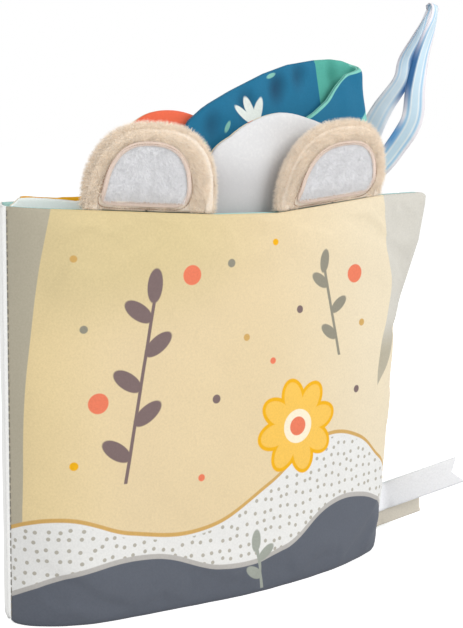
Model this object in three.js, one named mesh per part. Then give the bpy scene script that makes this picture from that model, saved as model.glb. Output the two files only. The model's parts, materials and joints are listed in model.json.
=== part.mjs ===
// Crinkle cloth book with stuffed plush ears, a ribbon loop and two side labels.
// Millimetres. X runs from the spine to the free edges, Y from the front cover to the back
// cover, and Z up. The book stands on its lower edge, a little open, as it does on a shelf.
// The origin is the middle of its bounding box, on the surface that it stands on.
import * as THREE from 'three';

// Overall sizes
const COVER_HEIGHT = 180;
const COVER_CUT_LENGTH = 226; // front cover, from the spine seam to its free edge
const BACK_COVER_SETBACK = 18; // the back cover is flat, and this much shorter
const SPINE_DEPTH = 18; // spine strip, from its front seam to its rear seam
const SPINE_SHIFT = 6; // how far the rear seam lies to the right of the front seam

// Cloth and filling
const COVER_CLOTH = 1.2;
const LINING_CLOTH = 1;
const LEAF_CLOTH = 0.8;
const STRIP_CLOTH = 1.6;
const PLUSH_CLOTH = 2;
const PATCH_CLOTH = 1.2;
const CRINKLE_FILM = 0.35;
const CLEARANCE = 0.3; // between two pieces that touch
const SEAM_HALF_GAP = CLEARANCE / 2;

// Covers
const COVER_HALF_THICKNESS = 4.2;
const COVER_SWELL = 16; // from a seam to full thickness
const COVER_SPINE_SWELL = 45; // the same on the spine side, where the padding is thin
const COVER_CORNER_RADIUS = 6;
const COVER_PAD_INSET = 20; // wadding and film start here at the spine
const COVER_PAD_MARGIN = 7; // and stop this short of the free edge

// Front cover's line, seen from above: length from the spine seam, and heading in degrees
// at the foot and at the top of the cover
const FACE_STATIONS = [
  [0, -80, -66],
  [15, -38, -26],
  [42, -8, -4],
  [105, -2.5, 1],
  [195, 21, 5],
];
// The free margin curls back below the crease and stands out flat at the top: height as a
// share of the cover's, and heading
const CURL_ARC = 10;
const MARGIN_HEADINGS = [
  [0, 53], [0.17, 46], [0.61, 43], [0.69, 37.5], [0.78, 24.5], [0.86, 13], [1, 2.6],
];
// How far the top edge sags, at lengths from the spine seam
const TOP_SAG = [[0, 0], [33, 1.6], [98, 6.2], [131, 7], [195, 1.4], [226, 1]];
const INNER_LIMIT_SHARE = 0.92; // height at which the front cover leaves the least room behind it

// Leaves
const LEAF_HALF_THICKNESS = 3.3;
const LEAF_SWELL = 16;
const LEAF_FAN = 30; // from the sewn margin to full thickness
const LEAF_SEWN_MARGIN = 6;
const LEAF_TURN_IN = 4; // leaves run straight out of the spine for this length
const LEAF_TURN_LENGTH = 24; // and reach their places in the book over this one
const LEAF_END = 186; // free edge, from the front seam of the spine
const LEAF_EDGE_STEP = 3;
const LEAF_FOOT_CLEARANCE = 1;
const LEAF_LEAN_SHARES = [0.02, 0.22, 0.22, 0.1]; // leaning back, for each millimetre above the covers
const LEAF_FRONT_ROOM = 1.8; // between the front cover and the leaves
const LEAF_GAP = 1.7; // between two leaves where they are fullest
const FILM_INSET = 16;
const LEAF_WADDING_INSET = 26;
const SPINE_SEAM_SHARES = [0.17, 0.37, 0.57, 0.77];

// Outlines of the leaves above the covers
const WHITE_DOME_HALF_WIDTH = 46;
const WHITE_DOME_HEIGHT = 41;
const WHITE_DOME_CENTRE = 136;
const CORAL_DOME_HALF_WIDTH = 39;
const CORAL_DOME_HEIGHT = 41;
const CORAL_DOME_CENTRE = 87;
const DOME_FOOT_SLOPE = 2;
const YELLOW_LEAF_EXTRA = 2;
const TEAL_RISE = 64;
const TEAL_ROLL_RADIUS = 3.4;
const TEAL_ROLL_START = 3.5; // the roll starts this far past the leaf's free edge
const TEAL_FLAP_LENGTH = 42;
const TEAL_FLAP_FOOT = 22; // lower edge of the flap, above the covers
const TEAL_ROLL_RISE = 26; // the roll opens over this height
const TEAL_CREST_SHARES = [
  [0, -0.03], [0.36, 0], [0.46, 0.4], [0.5, 0.55], [0.55, 0.65], [0.63, 0.76], [0.74, 0.89],
  [0.82, 0.96], [0.91, 1], [0.96, 1.01], [1, 1],
];
const TEAL_FLAP_SHARES = [
  [0, 1], [0.12, 0.97], [0.26, 0.92], [0.38, 0.89], [0.52, 0.79], [0.63, 0.69], [0.79, 0.6],
  [1, 0.51],
];

// Ears
const EAR_WIDTH = 64;
const EAR_HEIGHT = 38;
const LEFT_EAR_FROM = 34; // along the front cover's top edge
const RIGHT_EAR_FROM = 131;
const RIGHT_EAR_SLANT = 0.2; // the right ear leans this much towards the free edge
const EAR_HALF_THICKNESS = 6;
const EAR_BASE_SHARE = 0.25;
const EAR_BASE_RISE_SHARE = 0.35;
const EAR_ROUNDNESS = 2.6;
const EAR_LEAN = 8; // degrees, towards the front
const EAR_COLUMN_SHARES = [0, 0.35, 0.66, 0.8, 0.93, 1];
const EAR_ROW_SHARES = [0, 0.1, 0.35, 0.55, 0.7, 0.86, 0.95, 1];
const EAR_FILLING_CLEARANCE = 0.6;
const PATCH_COLUMN_LIMIT_SHARE = 0.66;
const PATCH_ROW_LOW_SHARE = 0.1;
const PATCH_ROW_HIGH_SHARE = 0.7;

// Ribbon loop, held in the back cover's top seam
const RIBBON_WIDTH = 12;
const RIBBON_THICKNESS = 0.7;
const RIBBON_HEIGHT = 90;
const RIBBON_FROM_EDGE = 11; // from the back cover's free edge to the middle of the loop
const RIBBON_FOOT_LIFT = 0.8;
const RIBBON_STEPS = 34;
// along the loop: X and Y from the middle of its foot, and the height as a share of the loop's
const RIBBON_ROUTE = [
  [-2.5, 0.7, 0], [-1.9, 1.5, 0.06], [4, 4.5, 0.17], [12, 4, 0.31], [16.5, 0.5, 0.44],
  [20, -5.5, 0.6], [21.8, -10.5, 0.72], [24.4, -16, 0.85], [25.8, -22.5, 1], [24, -26, 0.93],
  [20.8, -25, 0.74], [18.5, -20.5, 0.56], [17.8, -14, 0.37], [14, -8, 0.2], [6, -4, 0.09],
  [2.5, -1, 0.035], [2, -0.7, 0],
];
const RIBBON_WIDTH_TURNS = [[0, 0], [0.3, -25], [1, 33]]; // which way its width points, in degrees

// Labels, held in the front cover's free edge
const LABEL_THICKNESS = 0.5;
const LABEL_ROOT_GAP = 0.6; // the cover's edge twists a little over a label's width
const LABEL_BEND = 10;
const LABEL_LAYER_OFFSET = 0.8;
const LABEL_CLIMB_SHARE = 0.36;
const WHITE_LABEL_LENGTH = 47;
const WHITE_LABEL_WIDTH = 14;
const WHITE_LABEL_HEIGHT = 17; // to the middle of its root
const WHITE_LABEL_TURN = -35;
const WHITE_LABEL_NOTCH = 5;
const BEIGE_LABEL_LENGTH = 30;
const BEIGE_LABEL_WIDTH = 11.5;
const BEIGE_LABEL_HEIGHT = 7.5;
const BEIGE_LABEL_TURN = -20;
const BEIGE_LABEL_FOLD_RADIUS = 0.6;

const radians = THREE.MathUtils.degToRad;

/** 0 at or below zero, 1 at or above one, and a smooth step between them. */
function ease(value) {
  return THREE.MathUtils.smoothstep(value, 0, 1);
}

/** The rise of a quarter circle: 0 at the seam and 1 at the end of the swell. */
function pillow(value) {
  const left = 1 - THREE.MathUtils.clamp(value, 0, 1);
  return Math.sqrt(1 - left * left);
}

/** The value of a table of [place, value] rows at a place, straight between the rows. */
function tableAt(table, place) {
  const next = table.findIndex((row) => row[0] >= place);
  if (next < 0) return table[table.length - 1][1];
  if (next === 0) return table[0][1];
  const [x0, y0] = table[next - 1];
  const [x1, y1] = table[next];
  return THREE.MathUtils.mapLinear(place, x0, x1, y0, y1);
}

/** A closed solid between a front and a rear grid of points, each as [column][row]. */
function slab(front, rear) {
  const places = [];
  const faces = [];
  const known = new Map();
  const number = (point) => {
    const key = point.toArray().map((value) => value.toFixed(5)).join();
    if (!known.has(key)) {
      known.set(key, known.size);
      places.push(...point.toArray());
    }
    return known.get(key);
  };
  const triangle = (...corners) => {
    const ids = corners.map(number);
    if (new Set(ids).size === corners.length) faces.push(...ids);
  };
  const quad = (a, b, c, d) => {
    triangle(a, b, c);
    triangle(a, c, d);
  };
  const columns = front.length - 1;
  const rows = front[0].length - 1;
  for (let i = 0; i < columns; i += 1) {
    for (let j = 0; j < rows; j += 1) {
      quad(front[i][j], front[i + 1][j], front[i + 1][j + 1], front[i][j + 1]);
      quad(rear[i][j], rear[i][j + 1], rear[i + 1][j + 1], rear[i + 1][j]);
    }
    quad(front[i][0], rear[i][0], rear[i + 1][0], front[i + 1][0]);
    quad(front[i][rows], front[i + 1][rows], rear[i + 1][rows], rear[i][rows]);
  }
  for (let j = 0; j < rows; j += 1) {
    quad(front[0][j], front[0][j + 1], rear[0][j + 1], rear[0][j]);
    quad(front[columns][j], rear[columns][j], rear[columns][j + 1], front[columns][j + 1]);
  }
  const geometry = new THREE.BufferGeometry();
  geometry.setAttribute('position', new THREE.Float32BufferAttribute(places, 3));
  geometry.setIndex(faces);
  return geometry;
}

/** Columns with no two closer than a step, from a list of places in any order. */
function spaced(places, least) {
  const sorted = [...places].sort((a, b) => a - b);
  const kept = [sorted[0]];
  for (const place of sorted.slice(1, -1)) {
    const room = Math.min(place - kept[kept.length - 1], sorted[sorted.length - 1] - place);
    if (room >= least) kept.push(place);
  }
  return [...kept, sorted[sorted.length - 1]];
}

/** How far a flat point lies from a sheet's outline, which is given by its columns. */
function fromOutline(sheet, point) {
  const corners = [
    ...sheet.columns.map((c) => new THREE.Vector3(c, sheet.low(c), 0)),
    ...[...sheet.columns].reverse().map((c) => new THREE.Vector3(c, sheet.high(c), 0)),
  ];
  const nearest = new THREE.Vector3();
  const side = new THREE.Line3();
  return Math.min(...corners.map((corner, i) => {
    side.set(corner, corners[(i + 1) % corners.length]);
    side.closestPointToPoint(point, true, nearest);
    return nearest.distanceTo(point);
  }));
}

/** The nodes of a sheet: place, rear normal and half thickness, as [column][row]. */
function nodesOf(sheet) {
  return sheet.columns.map((column) => sheet.rows.map((row) => {
    const height = THREE.MathUtils.lerp(sheet.low(column), sheet.high(column), row);
    const { point, rear } = sheet.place(column, height);
    const seam = fromOutline(sheet, new THREE.Vector3(column, height, 0));
    const fullness = pillow(seam / sheet.swell) * sheet.fan(column);
    return { point, rear, half: THREE.MathUtils.lerp(sheet.seamHalf, sheet.half, fullness) };
  }));
}

/** One layer of a sheet: from and to give its two faces, as distances from the middle. */
function layer(nodes, from, to) {
  const face = (offset) => nodes.map((column) => column.map(
    (node) => node.point.clone().addScaledVector(node.rear, offset(node.half)),
  ));
  return slab(face(from), face(to));
}

/** The nodes whose columns lie between two places, without some rows at each edge. */
function within(sheet, nodes, first, last, rowsOff) {
  return nodes
    .filter((_, i) => sheet.columns[i] >= first && sheet.columns[i] <= last)
    .map((column) => column.slice(rowsOff, column.length - rowsOff));
}

/** A place on a line of arcs, seen from above. Stations give the heading at each length. */
function along(stations, length) {
  let [x, y] = stations.start;
  let heading = radians(stations.list[0][1]);
  for (let s = 1; s < stations.list.length; s += 1) {
    const [from, headingFrom] = stations.list[s - 1];
    const [to, headingTo] = stations.list[s];
    const step = Math.min(length, to) - from;
    if (step <= 0) break;
    const turn = radians(headingTo - headingFrom) * step / (to - from);
    const reach = turn === 0 ? step : step * Math.sin(turn / 2) / (turn / 2);
    x += reach * Math.cos(heading + turn / 2);
    y += reach * Math.sin(heading + turn / 2);
    heading += turn;
  }
  return { x, y, heading };
}

/** The rear normal of an upright sheet that runs along a heading. */
function rearOf(heading) {
  return new THREE.Vector3(-Math.sin(heading), Math.cos(heading), 0);
}

function mesh(name, geometry, color, roughness) {
  geometry.computeVertexNormals();
  const material = new THREE.MeshStandardMaterial({ color, roughness, metalness: 0 });
  const made = new THREE.Mesh(geometry, material);
  made.name = name;
  return made;
}

// Front cover

const coverSeamHalf = Math.max(COVER_CLOTH, LINING_CLOTH) + SEAM_HALF_GAP;
const faceLength = FACE_STATIONS[FACE_STATIONS.length - 1][0];

/** The front cover's line at a height, from above. */
function coverLine(height) {
  const up = height / COVER_HEIGHT;
  const margin = tableAt(MARGIN_HEADINGS, up);
  return {
    start: [0, -SEAM_HALF_GAP],
    list: [
      ...FACE_STATIONS.map(([length, foot, top]) => [length, THREE.MathUtils.lerp(foot, top, up)]),
      [faceLength + CURL_ARC, margin],
      [COVER_CUT_LENGTH, margin],
    ],
  };
}

/** How much a rounded corner lifts an edge, at a distance from the side. */
function cornerLift(distance) {
  const left = Math.max(0, COVER_CORNER_RADIUS - distance);
  return COVER_CORNER_RADIUS - Math.sqrt(COVER_CORNER_RADIUS ** 2 - left ** 2);
}

const COVER_ROW_SHARES = [0, 0.025, 0.1, 0.3, 0.5, 0.62, 0.7, 0.78, 0.87, 0.97, 1];

function coverColumns() {
  const turns = FACE_STATIONS.flatMap(([length], i) => {
    const next = FACE_STATIONS[i + 1] || [COVER_CUT_LENGTH - COVER_PAD_MARGIN];
    return [0, 1 / 3, 2 / 3].map((share) => THREE.MathUtils.lerp(length, next[0], share));
  });
  const nearSpine = [0.2, 0.5].map((share) => share * COVER_CORNER_RADIUS);
  const sags = TOP_SAG.slice(1, -1).map(([length]) => length);
  const edge = [COVER_PAD_MARGIN, COVER_PAD_MARGIN / 3, 0].map((inset) => COVER_CUT_LENGTH - inset);
  return spaced([...turns, ...nearSpine, ...sags, COVER_PAD_INSET, ...edge], COVER_CLOTH);
}

/** The height of the front cover's top edge at a length. */
function topEdge(length) {
  return COVER_HEIGHT - tableAt(TOP_SAG, length) - cornerLift(COVER_CUT_LENGTH - length);
}

const frontCoverSheet = {
  columns: coverColumns(),
  rows: COVER_ROW_SHARES,
  low: (column) => cornerLift(column),
  high: topEdge,
  place: (column, height) => {
    const { x, y, heading } = along(coverLine(height), column);
    return { point: new THREE.Vector3(x, y, height), rear: rearOf(heading) };
  },
  fan: (column) => ease((column + COVER_CORNER_RADIUS) / COVER_SPINE_SWELL),
  swell: COVER_SWELL,
  seamHalf: coverSeamHalf,
  half: COVER_HALF_THICKNESS,
  padInset: COVER_PAD_INSET,
};

const limitLine = coverLine(COVER_HEIGHT * INNER_LIMIT_SHARE);

/** The front limit of the leaves at a place along X, which is the front cover's rear face. */
function frontLimit(x) {
  let [low, high] = [0, COVER_CUT_LENGTH];
  while (high - low > SEAM_HALF_GAP) {
    const middle = (low + high) / 2;
    if (along(limitLine, middle).x < x) low = middle;
    else high = middle;
  }
  const { y, heading } = along(limitLine, low);
  const half = THREE.MathUtils.lerp(coverSeamHalf, COVER_HALF_THICKNESS, frontCoverSheet.fan(low));
  return y + half / Math.cos(heading) + LEAF_FRONT_ROOM;
}

/** Cloth, wadding, film and lining of a padded cover. The lining is on the given side. */
function coverPieces(name, sheet, liningSide, colours) {
  const nodes = nodesOf(sheet);
  const start = sheet.columns[0];
  const end = sheet.columns[sheet.columns.length - 1];
  const inside = within(sheet, nodes, start + sheet.padInset, end - COVER_PAD_MARGIN, 1);
  const linedDepth = LINING_CLOTH + CLEARANCE;
  const filmDepth = linedDepth + CRINKLE_FILM;
  const faces = {
    panel: [nodes, (half) => -half, (half) => COVER_CLOTH - half],
    wadding: [
      inside,
      (half) => COVER_CLOTH + CLEARANCE - half,
      (half) => half - filmDepth - CLEARANCE,
    ],
    film: [inside, (half) => half - filmDepth, (half) => half - linedDepth],
    lining: [nodes, (half) => half - LINING_CLOTH, (half) => half],
  };
  return Object.entries(faces).map(([piece, [used, from, to]]) => {
    const turned = liningSide > 0 ? [from, to] : [(half) => -to(half), (half) => -from(half)];
    const [color, roughness] = colours[piece];
    return mesh(`${name}_${piece}`, layer(used, ...turned), color, roughness);
  });
}

const frontCover = coverPieces('front_cover', frontCoverSheet, 1, {
  panel: ['#e4d3a8', 0.85],
  wadding: ['#f2f1ec', 0.95],
  film: ['#dfe6ea', 0.3],
  lining: ['#a9d9d7', 0.8],
});

// Back cover

const spineDirection = new THREE.Vector3(SPINE_SHIFT, SPINE_DEPTH, 0).normalize();
const spineInward = new THREE.Vector3(spineDirection.y, -spineDirection.x, 0);
const backCoverStart = SPINE_SHIFT + STRIP_CLOTH / 2 + CLEARANCE;
const backCoverY = SPINE_DEPTH + coverSeamHalf / 2;
const backCoverLength = COVER_CUT_LENGTH - BACK_COVER_SETBACK;
const backCoverEnd = backCoverStart + backCoverLength;

const backCoverSheet = {
  columns: [0, 0.02, 0.06, 0.12, 0.18, 0.3, 0.5, 0.7, 0.85, 0.94, 0.97, 1].map(
    (share) => backCoverStart + share * backCoverLength,
  ),
  rows: [0, 0.025, 0.1, 0.3, 0.6, 0.87, 0.97, 1],
  low: (column) => cornerLift(backCoverEnd - column),
  high: (column) => COVER_HEIGHT - cornerLift(backCoverEnd - column),
  place: (column, height) => ({
    point: new THREE.Vector3(column, backCoverY, height),
    rear: new THREE.Vector3(0, 1, 0),
  }),
  fan: (column) => ease((column - backCoverStart + COVER_CORNER_RADIUS) / COVER_SPINE_SWELL),
  swell: COVER_SWELL,
  seamHalf: coverSeamHalf,
  half: COVER_HALF_THICKNESS,
  padInset: COVER_PAD_INSET,
};

const backCover = coverPieces('back_cover', backCoverSheet, -1, {
  panel: ['#d3cfc4', 0.85],
  wadding: ['#f2f1ec', 0.95],
  film: ['#dfe6ea', 0.3],
  lining: ['#c6d8d2', 0.8],
});

// Spine strip: a band of cloth from the front seam to the rear seam

function spineStrip() {
  const inset = CLEARANCE + coverSeamHalf * spineDirection.x;
  const from = spineDirection.clone().multiplyScalar(inset);
  const to = new THREE.Vector3(SPINE_SHIFT, SPINE_DEPTH, 0).addScaledVector(spineDirection, -inset);
  const bow = [0, 0.6, 0.9, 0.6, 0];
  const face = (offset) => bow.map((share, i) => {
    const foot = from.clone().lerp(to, i / (bow.length - 1));
    foot.addScaledVector(spineInward, offset - share * STRIP_CLOTH / 2);
    return [0, COVER_HEIGHT / 2, COVER_HEIGHT].map((z) => foot.clone().setZ(z));
  });
  return mesh('spine_strip', slab(face(STRIP_CLOTH / 2), face(-STRIP_CLOTH / 2)), '#d2d1cb', 0.85);
}

// Leaves

const leafSeamHalf = LEAF_CLOTH + SEAM_HALF_GAP;
const leafCount = SPINE_SEAM_SHARES.length;

/** The rear limit of the leaves at a place along X, which is the back cover's front face. */
function backLimit(x) {
  const fullness = backCoverSheet.fan(x) * pillow((backCoverEnd - x) / COVER_SWELL);
  return backCoverY - THREE.MathUtils.lerp(coverSeamHalf, COVER_HALF_THICKNESS, fullness) - CLEARANCE;
}

/** Where a leaf's sewn edge lies on the inner side of the spine strip. */
function leafRoot(order) {
  const onStrip = new THREE.Vector3(SPINE_SHIFT, SPINE_DEPTH, 0).multiplyScalar(SPINE_SEAM_SHARES[order]);
  const tilt = leafSeamHalf * spineDirection.x;
  const standOff = STRIP_CLOTH / 2 + CLEARANCE + tilt;
  return onStrip.addScaledVector(spineInward, standOff);
}

/** How far back a leaf lies at a place along X: in its own equal share of the book's depth. */
function leafDepth(order, x) {
  const root = leafRoot(order);
  const place = THREE.MathUtils.lerp(frontLimit(x), backLimit(x), (order + 0.5) / leafCount);
  const turned = ease((x - root.x - LEAF_TURN_IN) / LEAF_TURN_LENGTH);
  return THREE.MathUtils.lerp(root.y, place, turned);
}

/** The heading of a leaf at a place along X. */
function leafHeading(order, x) {
  return Math.atan((leafDepth(order, x + LEAF_CLOTH) - leafDepth(order, x)) / LEAF_CLOTH);
}

/** How full a leaf is at a place along X: thin at its root, and never fuller than its room. */
function leafFullness(order, x) {
  const room = (backLimit(x) - frontLimit(x)) / leafCount * Math.cos(leafHeading(order, x));
  const share = ((room - LEAF_GAP) / 2 - leafSeamHalf) / (LEAF_HALF_THICKNESS - leafSeamHalf);
  const fan = ease((x - leafRoot(order).x - LEAF_SEWN_MARGIN) / LEAF_FAN);
  return Math.min(1, share) * fan;
}

function leafSheet(order, top, columns) {
  const root = leafRoot(order);
  const upright = (x, height) => {
    const lean = LEAF_LEAN_SHARES[order] * Math.max(0, height - COVER_HEIGHT);
    const point = new THREE.Vector3(x, leafDepth(order, x) + lean, height);
    return { point, heading: leafHeading(order, x) };
  };
  return {
    order,
    root,
    upright,
    columns: spaced(columns(root.x), LEAF_CLOTH),
    rows: [0, 0.02, 0.08, 0.25, 0.5, 0.72, 0.86, 0.95, 1],
    low: () => LEAF_FOOT_CLEARANCE,
    high: top,
    place: (x, height) => {
      const { point, heading } = upright(x, height);
      return { point, rear: rearOf(heading) };
    },
    fan: (x) => leafFullness(order, x),
    swell: LEAF_SWELL,
    seamHalf: leafSeamHalf,
    half: LEAF_HALF_THICKNESS,
  };
}

/** Columns that every leaf has: close at the spine, where it turns, and at its free edge. */
function plainColumns(start) {
  const near = [0, 1, 2, 3.2, 4.6, 6.4, 9, 13].map((share) => start + share * LEAF_TURN_IN);
  const far = [0, 1, 4, 8].map((share) => LEAF_END - share * LEAF_EDGE_STEP);
  return [...near, ...far];
}

/** Front cloth, rear cloth and crinkle film of a leaf. */
function leafPieces(name, sheet, colours) {
  const nodes = nodesOf(sheet);
  const film = within(sheet, nodes, sheet.root.x + FILM_INSET, LEAF_END - LEAF_EDGE_STEP, 1);
  return [
    mesh(`${name}_front`, layer(nodes, (half) => -half, (half) => LEAF_CLOTH - half), colours.front, 0.85),
    mesh(`${name}_rear`, layer(nodes, (half) => half - LEAF_CLOTH, (half) => half), colours.rear, 0.85),
    mesh(`${name}_film`, layer(film, () => -CRINKLE_FILM / 2, () => CRINKLE_FILM / 2), '#dfe6ea', 0.3),
  ];
}

/** A leaf with a round dome, which stands on its straight top edge. */
function domeLeaf(name, order, dome, colours) {
  const top = (x) => {
    const across = (x - dome.centre) / dome.halfWidth;
    const rise = dome.height * Math.sqrt(Math.max(0, 1 - across * across));
    return COVER_HEIGHT + Math.max(0, rise - DOME_FOOT_SLOPE);
  };
  const columns = (start) => [
    ...plainColumns(start),
    ...[1.02, 0.97, 0.86, 0.66, 0.36, 0].flatMap(
      (share) => [dome.centre - share * dome.halfWidth, dome.centre + share * dome.halfWidth],
    ),
  ].filter((place) => place <= LEAF_END);
  const sheet = leafSheet(order, top, columns);
  return { sheet, pieces: leafPieces(name, sheet, colours) };
}

const whiteDome = {
  centre: WHITE_DOME_CENTRE,
  halfWidth: WHITE_DOME_HALF_WIDTH,
  height: WHITE_DOME_HEIGHT,
};
const white = domeLeaf('white_leaf', 0, whiteDome, { front: '#f0f0ee', rear: '#ece7df' });
const whiteWadding = mesh('white_leaf_wadding', layer(
  within(white.sheet, nodesOf(white.sheet), white.sheet.root.x + LEAF_WADDING_INSET, LEAF_END - LEAF_SWELL, 2),
  (half) => LEAF_CLOTH + CLEARANCE - half,
  () => -CRINKLE_FILM / 2 - CLEARANCE,
), '#f4f3ef', 0.95);

const coralDome = {
  centre: CORAL_DOME_CENTRE,
  halfWidth: CORAL_DOME_HALF_WIDTH,
  height: CORAL_DOME_HEIGHT,
};
const coral = domeLeaf('coral_leaf', 2, coralDome, { front: '#ef6b4a', rear: '#f0e2c0' });

const yellowSheet = leafSheet(
  3,
  () => COVER_HEIGHT + YELLOW_LEAF_EXTRA,
  (start) => [...plainColumns(start), ...[0.4, 0.6, 0.8].map((share) => share * LEAF_END)],
);
const yellow = leafPieces('yellow_leaf', yellowSheet, { front: '#e8b53a', rear: '#e8dfc8' });

/** The teal leaf: a tall, slanting crest whose free corner rolls over to the front. */
function tealSheet() {
  const rollLength = TEAL_ROLL_START + Math.PI * TEAL_ROLL_RADIUS + TEAL_FLAP_LENGTH;
  const crest = (table, share) => COVER_HEIGHT + TEAL_RISE * tableAt(table, share);
  const top = (place) => (place <= LEAF_END
    ? crest(TEAL_CREST_SHARES, place / LEAF_END)
    : crest(TEAL_FLAP_SHARES, (place - LEAF_END) / rollLength));
  const columns = (start) => [
    ...plainColumns(start),
    ...TEAL_CREST_SHARES.map(([share]) => share * LEAF_END),
    ...TEAL_FLAP_SHARES.map(([share]) => LEAF_END + share * rollLength),
    ...[0, 0.25, 0.5, 0.75, 1].map(
      (share) => LEAF_END + TEAL_ROLL_START + share * Math.PI * TEAL_ROLL_RADIUS,
    ),
  ].filter((place) => place >= start);
  const sheet = leafSheet(1, top, columns);
  sheet.rows = [0, 0.02, 0.08, 0.25, 0.5, 0.7, 0.79, 0.85, 0.92, 0.97, 1];
  const foot = COVER_HEIGHT + TEAL_FLAP_FOOT;
  sheet.low = (place) => (place <= LEAF_END ? 0 : foot);
  sheet.place = (place, height) => {
    const { point, heading } = sheet.upright(Math.min(place, LEAF_END), height);
    const open = ease((height - foot + TEAL_ROLL_RISE) / TEAL_ROLL_RISE);
    const past = Math.max(0, place - LEAF_END) * open;
    const rolled = Math.max(0, past - TEAL_ROLL_START);
    const turn = Math.min(Math.PI, rolled / TEAL_ROLL_RADIUS);
    const back = Math.max(0, rolled - Math.PI * TEAL_ROLL_RADIUS);
    const ahead = new THREE.Vector3(Math.cos(heading), Math.sin(heading), 0);
    const reach = Math.min(past, TEAL_ROLL_START) + TEAL_ROLL_RADIUS * Math.sin(turn) - back;
    point.addScaledVector(ahead, reach);
    point.addScaledVector(rearOf(heading), -TEAL_ROLL_RADIUS * (1 - Math.cos(turn)));
    return { point, rear: rearOf(heading - turn) };
  };
  sheet.fan = (place) => {
    const rolled = ease((place - LEAF_END + LEAF_SWELL) / LEAF_SWELL) / 2;
    return leafFullness(sheet.order, Math.min(place, LEAF_END)) * (1 - rolled);
  };
  return sheet;
}

const teal = leafPieces('teal_leaf', tealSheet(), { front: '#297397', rear: '#2a6f92' });

// Ears: two plush half discs sewn round the rim, stuffed, with a patch on the front

function earHalf(column, row) {
  const roundness = column * column + row * row * (1 - column * column);
  const swell = Math.sqrt(Math.max(0, 1 - roundness));
  const base = THREE.MathUtils.lerp(EAR_BASE_SHARE, 1, ease(row / EAR_BASE_RISE_SHARE));
  return THREE.MathUtils.lerp(PLUSH_CLOTH + SEAM_HALF_GAP, EAR_HALF_THICKNESS, swell * base);
}

function earPieces(side, slant) {
  const columns = [...EAR_COLUMN_SHARES.slice(1).map((share) => -share).reverse(), ...EAR_COLUMN_SHARES];
  const arch = (column) => EAR_HEIGHT * Math.sqrt(1 - Math.abs(column) ** EAR_ROUNDNESS);
  const nodes = columns.map((column) => EAR_ROW_SHARES.map((row) => {
    const height = row * arch(column);
    return {
      column,
      row,
      point: new THREE.Vector3(column * EAR_WIDTH / 2 + slant * height, 0, height),
      rear: new THREE.Vector3(0, 1, 0),
      half: earHalf(column, row),
    };
  }));
  const patch = nodes
    .filter(([node]) => Math.abs(node.column) <= PATCH_COLUMN_LIMIT_SHARE)
    .map((column) => column.filter(
      (node) => node.row >= PATCH_ROW_LOW_SHARE && node.row <= PATCH_ROW_HIGH_SHARE,
    ));
  const filling = nodes.slice(1, -1).map((column) => column.slice(0, -1));
  const depth = PLUSH_CLOTH + EAR_FILLING_CLEARANCE;
  return [
    mesh(`${side}_ear_front`, layer(nodes, (half) => -half, (half) => PLUSH_CLOTH - half), '#d8c2ab', 1),
    mesh(`${side}_ear_back`, layer(nodes, (half) => half - PLUSH_CLOTH, (half) => half), '#d3bca4', 1),
    mesh(`${side}_ear_filling`, layer(filling, (half) => depth - half, (half) => half - depth), '#f5f5f2', 1),
    mesh(`${side}_ear_patch`, layer(
      patch,
      (half) => -half - CLEARANCE - PATCH_CLOTH,
      (half) => -half - CLEARANCE,
    ), '#dadada', 1),
  ];
}

/** An ear on the front cover's top edge, from a length along it. */
function ear(side, from, slant) {
  const [start, end] = [from, from + EAR_WIDTH].map((length) => {
    const { x, y } = along(coverLine(COVER_HEIGHT), length);
    return new THREE.Vector3(x, y, topEdge(length) + CLEARANCE);
  });
  const across = end.clone().sub(start);
  const turn = Math.atan2(across.y, across.x);
  const roll = -Math.atan2(across.z, Math.hypot(across.x, across.y));
  const group = new THREE.Group();
  group.add(...earPieces(side, slant));
  group.position.copy(start).lerp(end, 0.5);
  group.rotation.set(radians(EAR_LEAN), roll, turn, 'ZYX');
  group.position.z += (PLUSH_CLOTH + SEAM_HALF_GAP) * Math.sin(radians(EAR_LEAN));
  return group;
}

// Ribbon loop and labels: flat strips along a route

/** A flat strip: route and widths are lists of vectors, and rows places its edges. */
function strip(route, widths, rows, thickness) {
  const face = (side) => route.map((point, i) => {
    const before = route[Math.max(0, i - 1)];
    const after = route[Math.min(route.length - 1, i + 1)];
    const ahead = after.clone().sub(before).normalize();
    const normal = ahead.clone().cross(widths[i]).normalize();
    const up = normal.clone().cross(ahead);
    return rows(i).map(([across, forward]) => point.clone()
      .addScaledVector(up, across)
      .addScaledVector(ahead, forward)
      .addScaledVector(normal, side * thickness / 2));
  });
  return slab(face(1), face(-1));
}

function ribbonLoop() {
  const foot = new THREE.Vector3(
    backCoverEnd - RIBBON_FROM_EDGE,
    backCoverY,
    COVER_HEIGHT + RIBBON_FOOT_LIFT,
  );
  const curve = new THREE.CatmullRomCurve3(RIBBON_ROUTE.map(
    ([x, y, share]) => foot.clone().add(new THREE.Vector3(x, y, share * RIBBON_HEIGHT)),
  ));
  const route = curve.getPoints(RIBBON_STEPS);
  const widths = route.map((point) => {
    const turn = radians(tableAt(RIBBON_WIDTH_TURNS, (point.z - foot.z) / RIBBON_HEIGHT));
    return new THREE.Vector3(Math.cos(turn), Math.sin(turn), 0);
  });
  const rows = () => [[-RIBBON_WIDTH / 2, 0], [RIBBON_WIDTH / 2, 0]];
  return mesh('ribbon_loop', strip(route, widths, rows, RIBBON_THICKNESS), '#b4cfe0', 0.45);
}

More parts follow.
